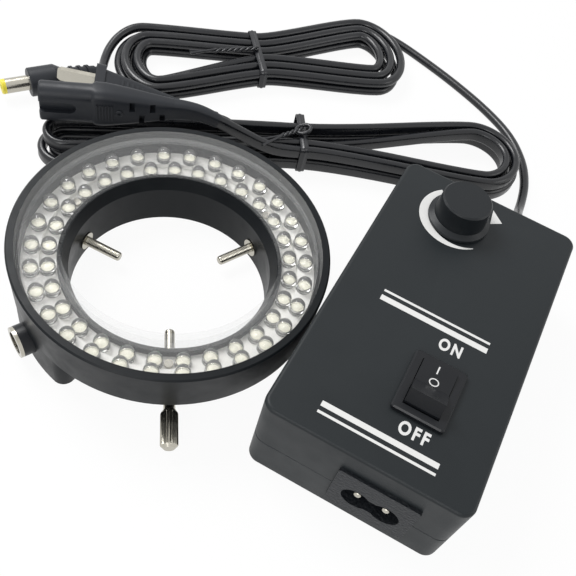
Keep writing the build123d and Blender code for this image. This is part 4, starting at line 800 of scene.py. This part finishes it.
whole = rings_mesh("connector", [[connector_spot(along, x, y) for x, y in rounded(tall, thick, corner)]
                                 for along, tall, thick, corner in CONNECTOR_RINGS], sharp=35)
bm = bmesh.new()
for side in (-1, 1):
    block_into(bm, connector_spot, (-CUT_PAST, RECESS_LENGTH),
               (RECESS_MIDDLE - RECESS_HALF, RECESS_MIDDLE + RECESS_HALF), (side * RECESS_FLOOR, side * RECESS_OPEN))
    round_end = connector_nose + connector_way * RECESS_LENGTH + UP * RECESS_MIDDLE
    lathe_into(bm, round_end, connector_out * side,
               [(RECESS_FLOOR, 0), (RECESS_FLOOR, RECESS_HALF), (RECESS_OPEN, RECESS_HALF), (RECESS_OPEN, 0)], 20)
    for along, low, high, half in SLOTS:
        block_into(bm, connector_spot, (along - SLOT_HALF, along + SLOT_HALF), (low, high),
                   (side * (half - SLOT_DEPTH), side * (half + SLOT_PAST)))
    lathe_into(bm, connector_nose + UP * side * SOCKET_OFFSET, connector_way,
               [(-CUT_PAST, 0), (-CUT_PAST, SOCKET_R), (SOCKET_DEPTH, SOCKET_R), (SOCKET_DEPTH, 0)], 20)
connector = dressed(cut(whole, bm), "base", "plug_black")

bm = bmesh.new()
for side in (-1, 1):
    for k in range(RIB_COUNT):
        rib = RIB_FROM + RIB_PITCH * k
        block_into(bm, connector_spot, (rib, rib + RIB_WIDTH), (-RIB_HALF, RIB_HALF),
                   (side * RIB_FOOT, side * RIB_CREST))
    lathe_into(bm, connector_nose + connector_way * BUTTON_ALONG + connector_out * side * BUTTON_FOOT,
               connector_out * side, BUTTON, 20)
connector_ribs = dressed(smooth_mesh(bm, "connector_ribs", 30), "base", "plug_black")

travelled, rings = 0.0, []
for point, ahead in zip(mains_path, mains_path[1:]):
    if travelled > RELIEF_LENGTH * MM:
        break
    share = max(0.0, 1 - travelled / (RELIEF_LENGTH * MM))
    tall, thick = (end + growth * share for end, growth in zip(RELIEF_END, RELIEF_GROWTH))
    outline = [(y, x) for x, y in rounded(tall, thick, RELIEF_CORNER)]
    rings.append(ring_across(point, (ahead - point).normalized(), outline))
    travelled += (ahead - point).length
connector_relief = dressed(rings_mesh("connector_relief", rings), "base", "plug_black")
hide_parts("connector_body")


# Grip ridges on the wall plug, whose body tapers in width and in thickness

RIDGE_COUNT, RIDGE_FROM, RIDGE_PITCH = 6, 10.0, 1.9
RIDGE_HALF, RIDGE_SINK, RIDGE_HEIGHT, RIDGE_INSET = 0.4, 0.4, 0.35, 3.4
TAPER_FROM, TAPER_LENGTH = 3.5, 28.1
PLUG_WIDTH, PLUG_WIDTH_LOSS = 20.1, 11.1
PLUG_THICKNESS, PLUG_THICKNESS_LOSS = 10.1, 2.1


def plug_spot(along, across, rise):
    return (WALL_PLUG_FACE + wall_way * along + wall_across * across + wall_up * rise) * MM


bm = bmesh.new()
for k in range(RIDGE_COUNT):
    along = RIDGE_FROM + RIDGE_PITCH * k
    half = (PLUG_THICKNESS - PLUG_THICKNESS_LOSS * (along - TAPER_FROM) / TAPER_LENGTH) / 2
    reach = (PLUG_WIDTH - PLUG_WIDTH_LOSS * (along - TAPER_FROM) / TAPER_LENGTH) / 2 - RIDGE_INSET
    for side in (-1, 1):
        block_into(bm, plug_spot, (along - RIDGE_HALF, along + RIDGE_HALF), (-reach, reach),
                   (side * (half - RIDGE_SINK), side * (half + RIDGE_HEIGHT)))
wall_ridges = dressed(smooth_mesh(bm, "wall_plug_ridges", 30), "base", "plug_black")


# Light, floor and background, in metres

LIGHT_SIZE = 0.4
LIGHTS = {  # place, target and power
    "key": ((-0.45, 0.15, 0.60), (0.0, 0.05, 0.0), 4.8),
    "front": ((0.05, -0.60, 0.40), (0.0, 0.03, 0.0), 1.6),
    "right": ((0.7, 0.2, 0.4), (0.0, 0.05, 0.0), 0.6),
}
WHITE = (1, 1, 1, 1)
WORLD_LIGHT = 0.48
FLOOR_SIZE, FLOOR_DROP = 2.0, 0.00005
FLOOR_GREY, FLOOR_GLOW = 0.88, 0.94

for name, (place, target, power) in LIGHTS.items():
    data = bpy.data.lights.new(name, "AREA")
    data.shape = "DISK"
    data.size = LIGHT_SIZE
    data.energy = power
    lamp = bpy.data.objects.new(name, data)
    bpy.context.collection.objects.link(lamp)
    lamp.location = place
    lamp.rotation_euler = (Vector(target) - Vector(place)).to_track_quat("-Z", "Y").to_euler()


def seen_directly(nodes, links):
    """1 for camera, glossy and transmission rays, otherwise 0."""
    path = nodes.new("ShaderNodeLightPath")
    total = path.outputs["Is Camera Ray"]
    for name in ("Is Glossy Ray", "Is Transmission Ray"):
        node = nodes.new("ShaderNodeMath")
        node.operation = "MAXIMUM"
        links.new(total, node.inputs[0])
        links.new(path.outputs[name], node.inputs[1])
        total = node.outputs["Value"]
    return total


def blend_shaders(nodes, links, share, first, second, output):
    """Sends a blend of two shaders to the surface of the output node."""
    blend = nodes.new("ShaderNodeMixShader")
    links.new(share, blend.inputs[0])
    links.new(first.outputs[0], blend.inputs[1])
    links.new(second.outputs[0], blend.inputs[2])
    links.new(blend.outputs[0], nodes[output].inputs["Surface"])


world = bpy.data.worlds.new("studio")
bpy.context.scene.world = world
world.use_nodes = True
nodes, links = world.node_tree.nodes, world.node_tree.links
soft = nodes["Background"]
soft.inputs["Color"].default_value = WHITE
soft.inputs["Strength"].default_value = WORLD_LIGHT
white = nodes.new("ShaderNodeBackground")
white.inputs["Color"].default_value = WHITE
white.inputs["Strength"].default_value = 1.0
blend_shaders(nodes, links, seen_directly(nodes, links), soft, white, "World Output")

bm = bmesh.new()
bmesh.ops.create_grid(bm, x_segments=4, y_segments=4, size=FLOOR_SIZE)
floor_mesh = bpy.data.meshes.new("floor")
bm.to_mesh(floor_mesh)
bm.free()
floor = bpy.data.objects.new("floor", floor_mesh)
floor.location = (0, 0, -FLOOR_DROP)
bpy.context.collection.objects.link(floor)
floor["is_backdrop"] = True
paint = bpy.data.materials.new("floor_white")
paint.use_nodes = True
nodes, links = paint.node_tree.nodes, paint.node_tree.links
nodes.remove(nodes["Principled BSDF"])
matt = nodes.new("ShaderNodeBsdfDiffuse")
matt.inputs["Color"].default_value = (FLOOR_GREY, FLOOR_GREY, FLOOR_GREY, 1)
glow = nodes.new("ShaderNodeEmission")
glow.inputs["Color"].default_value = WHITE
glow.inputs["Strength"].default_value = 1.0
share = nodes.new("ShaderNodeMath")
share.operation = "MULTIPLY"
share.inputs[1].default_value = FLOOR_GLOW
links.new(seen_directly(nodes, links), share.inputs[0])
blend_shaders(nodes, links, share.outputs["Value"], matt, glow, "Material Output")
floor_mesh.materials.append(paint)

bpy.context.scene.view_settings.view_transform = "Standard"

low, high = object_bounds()
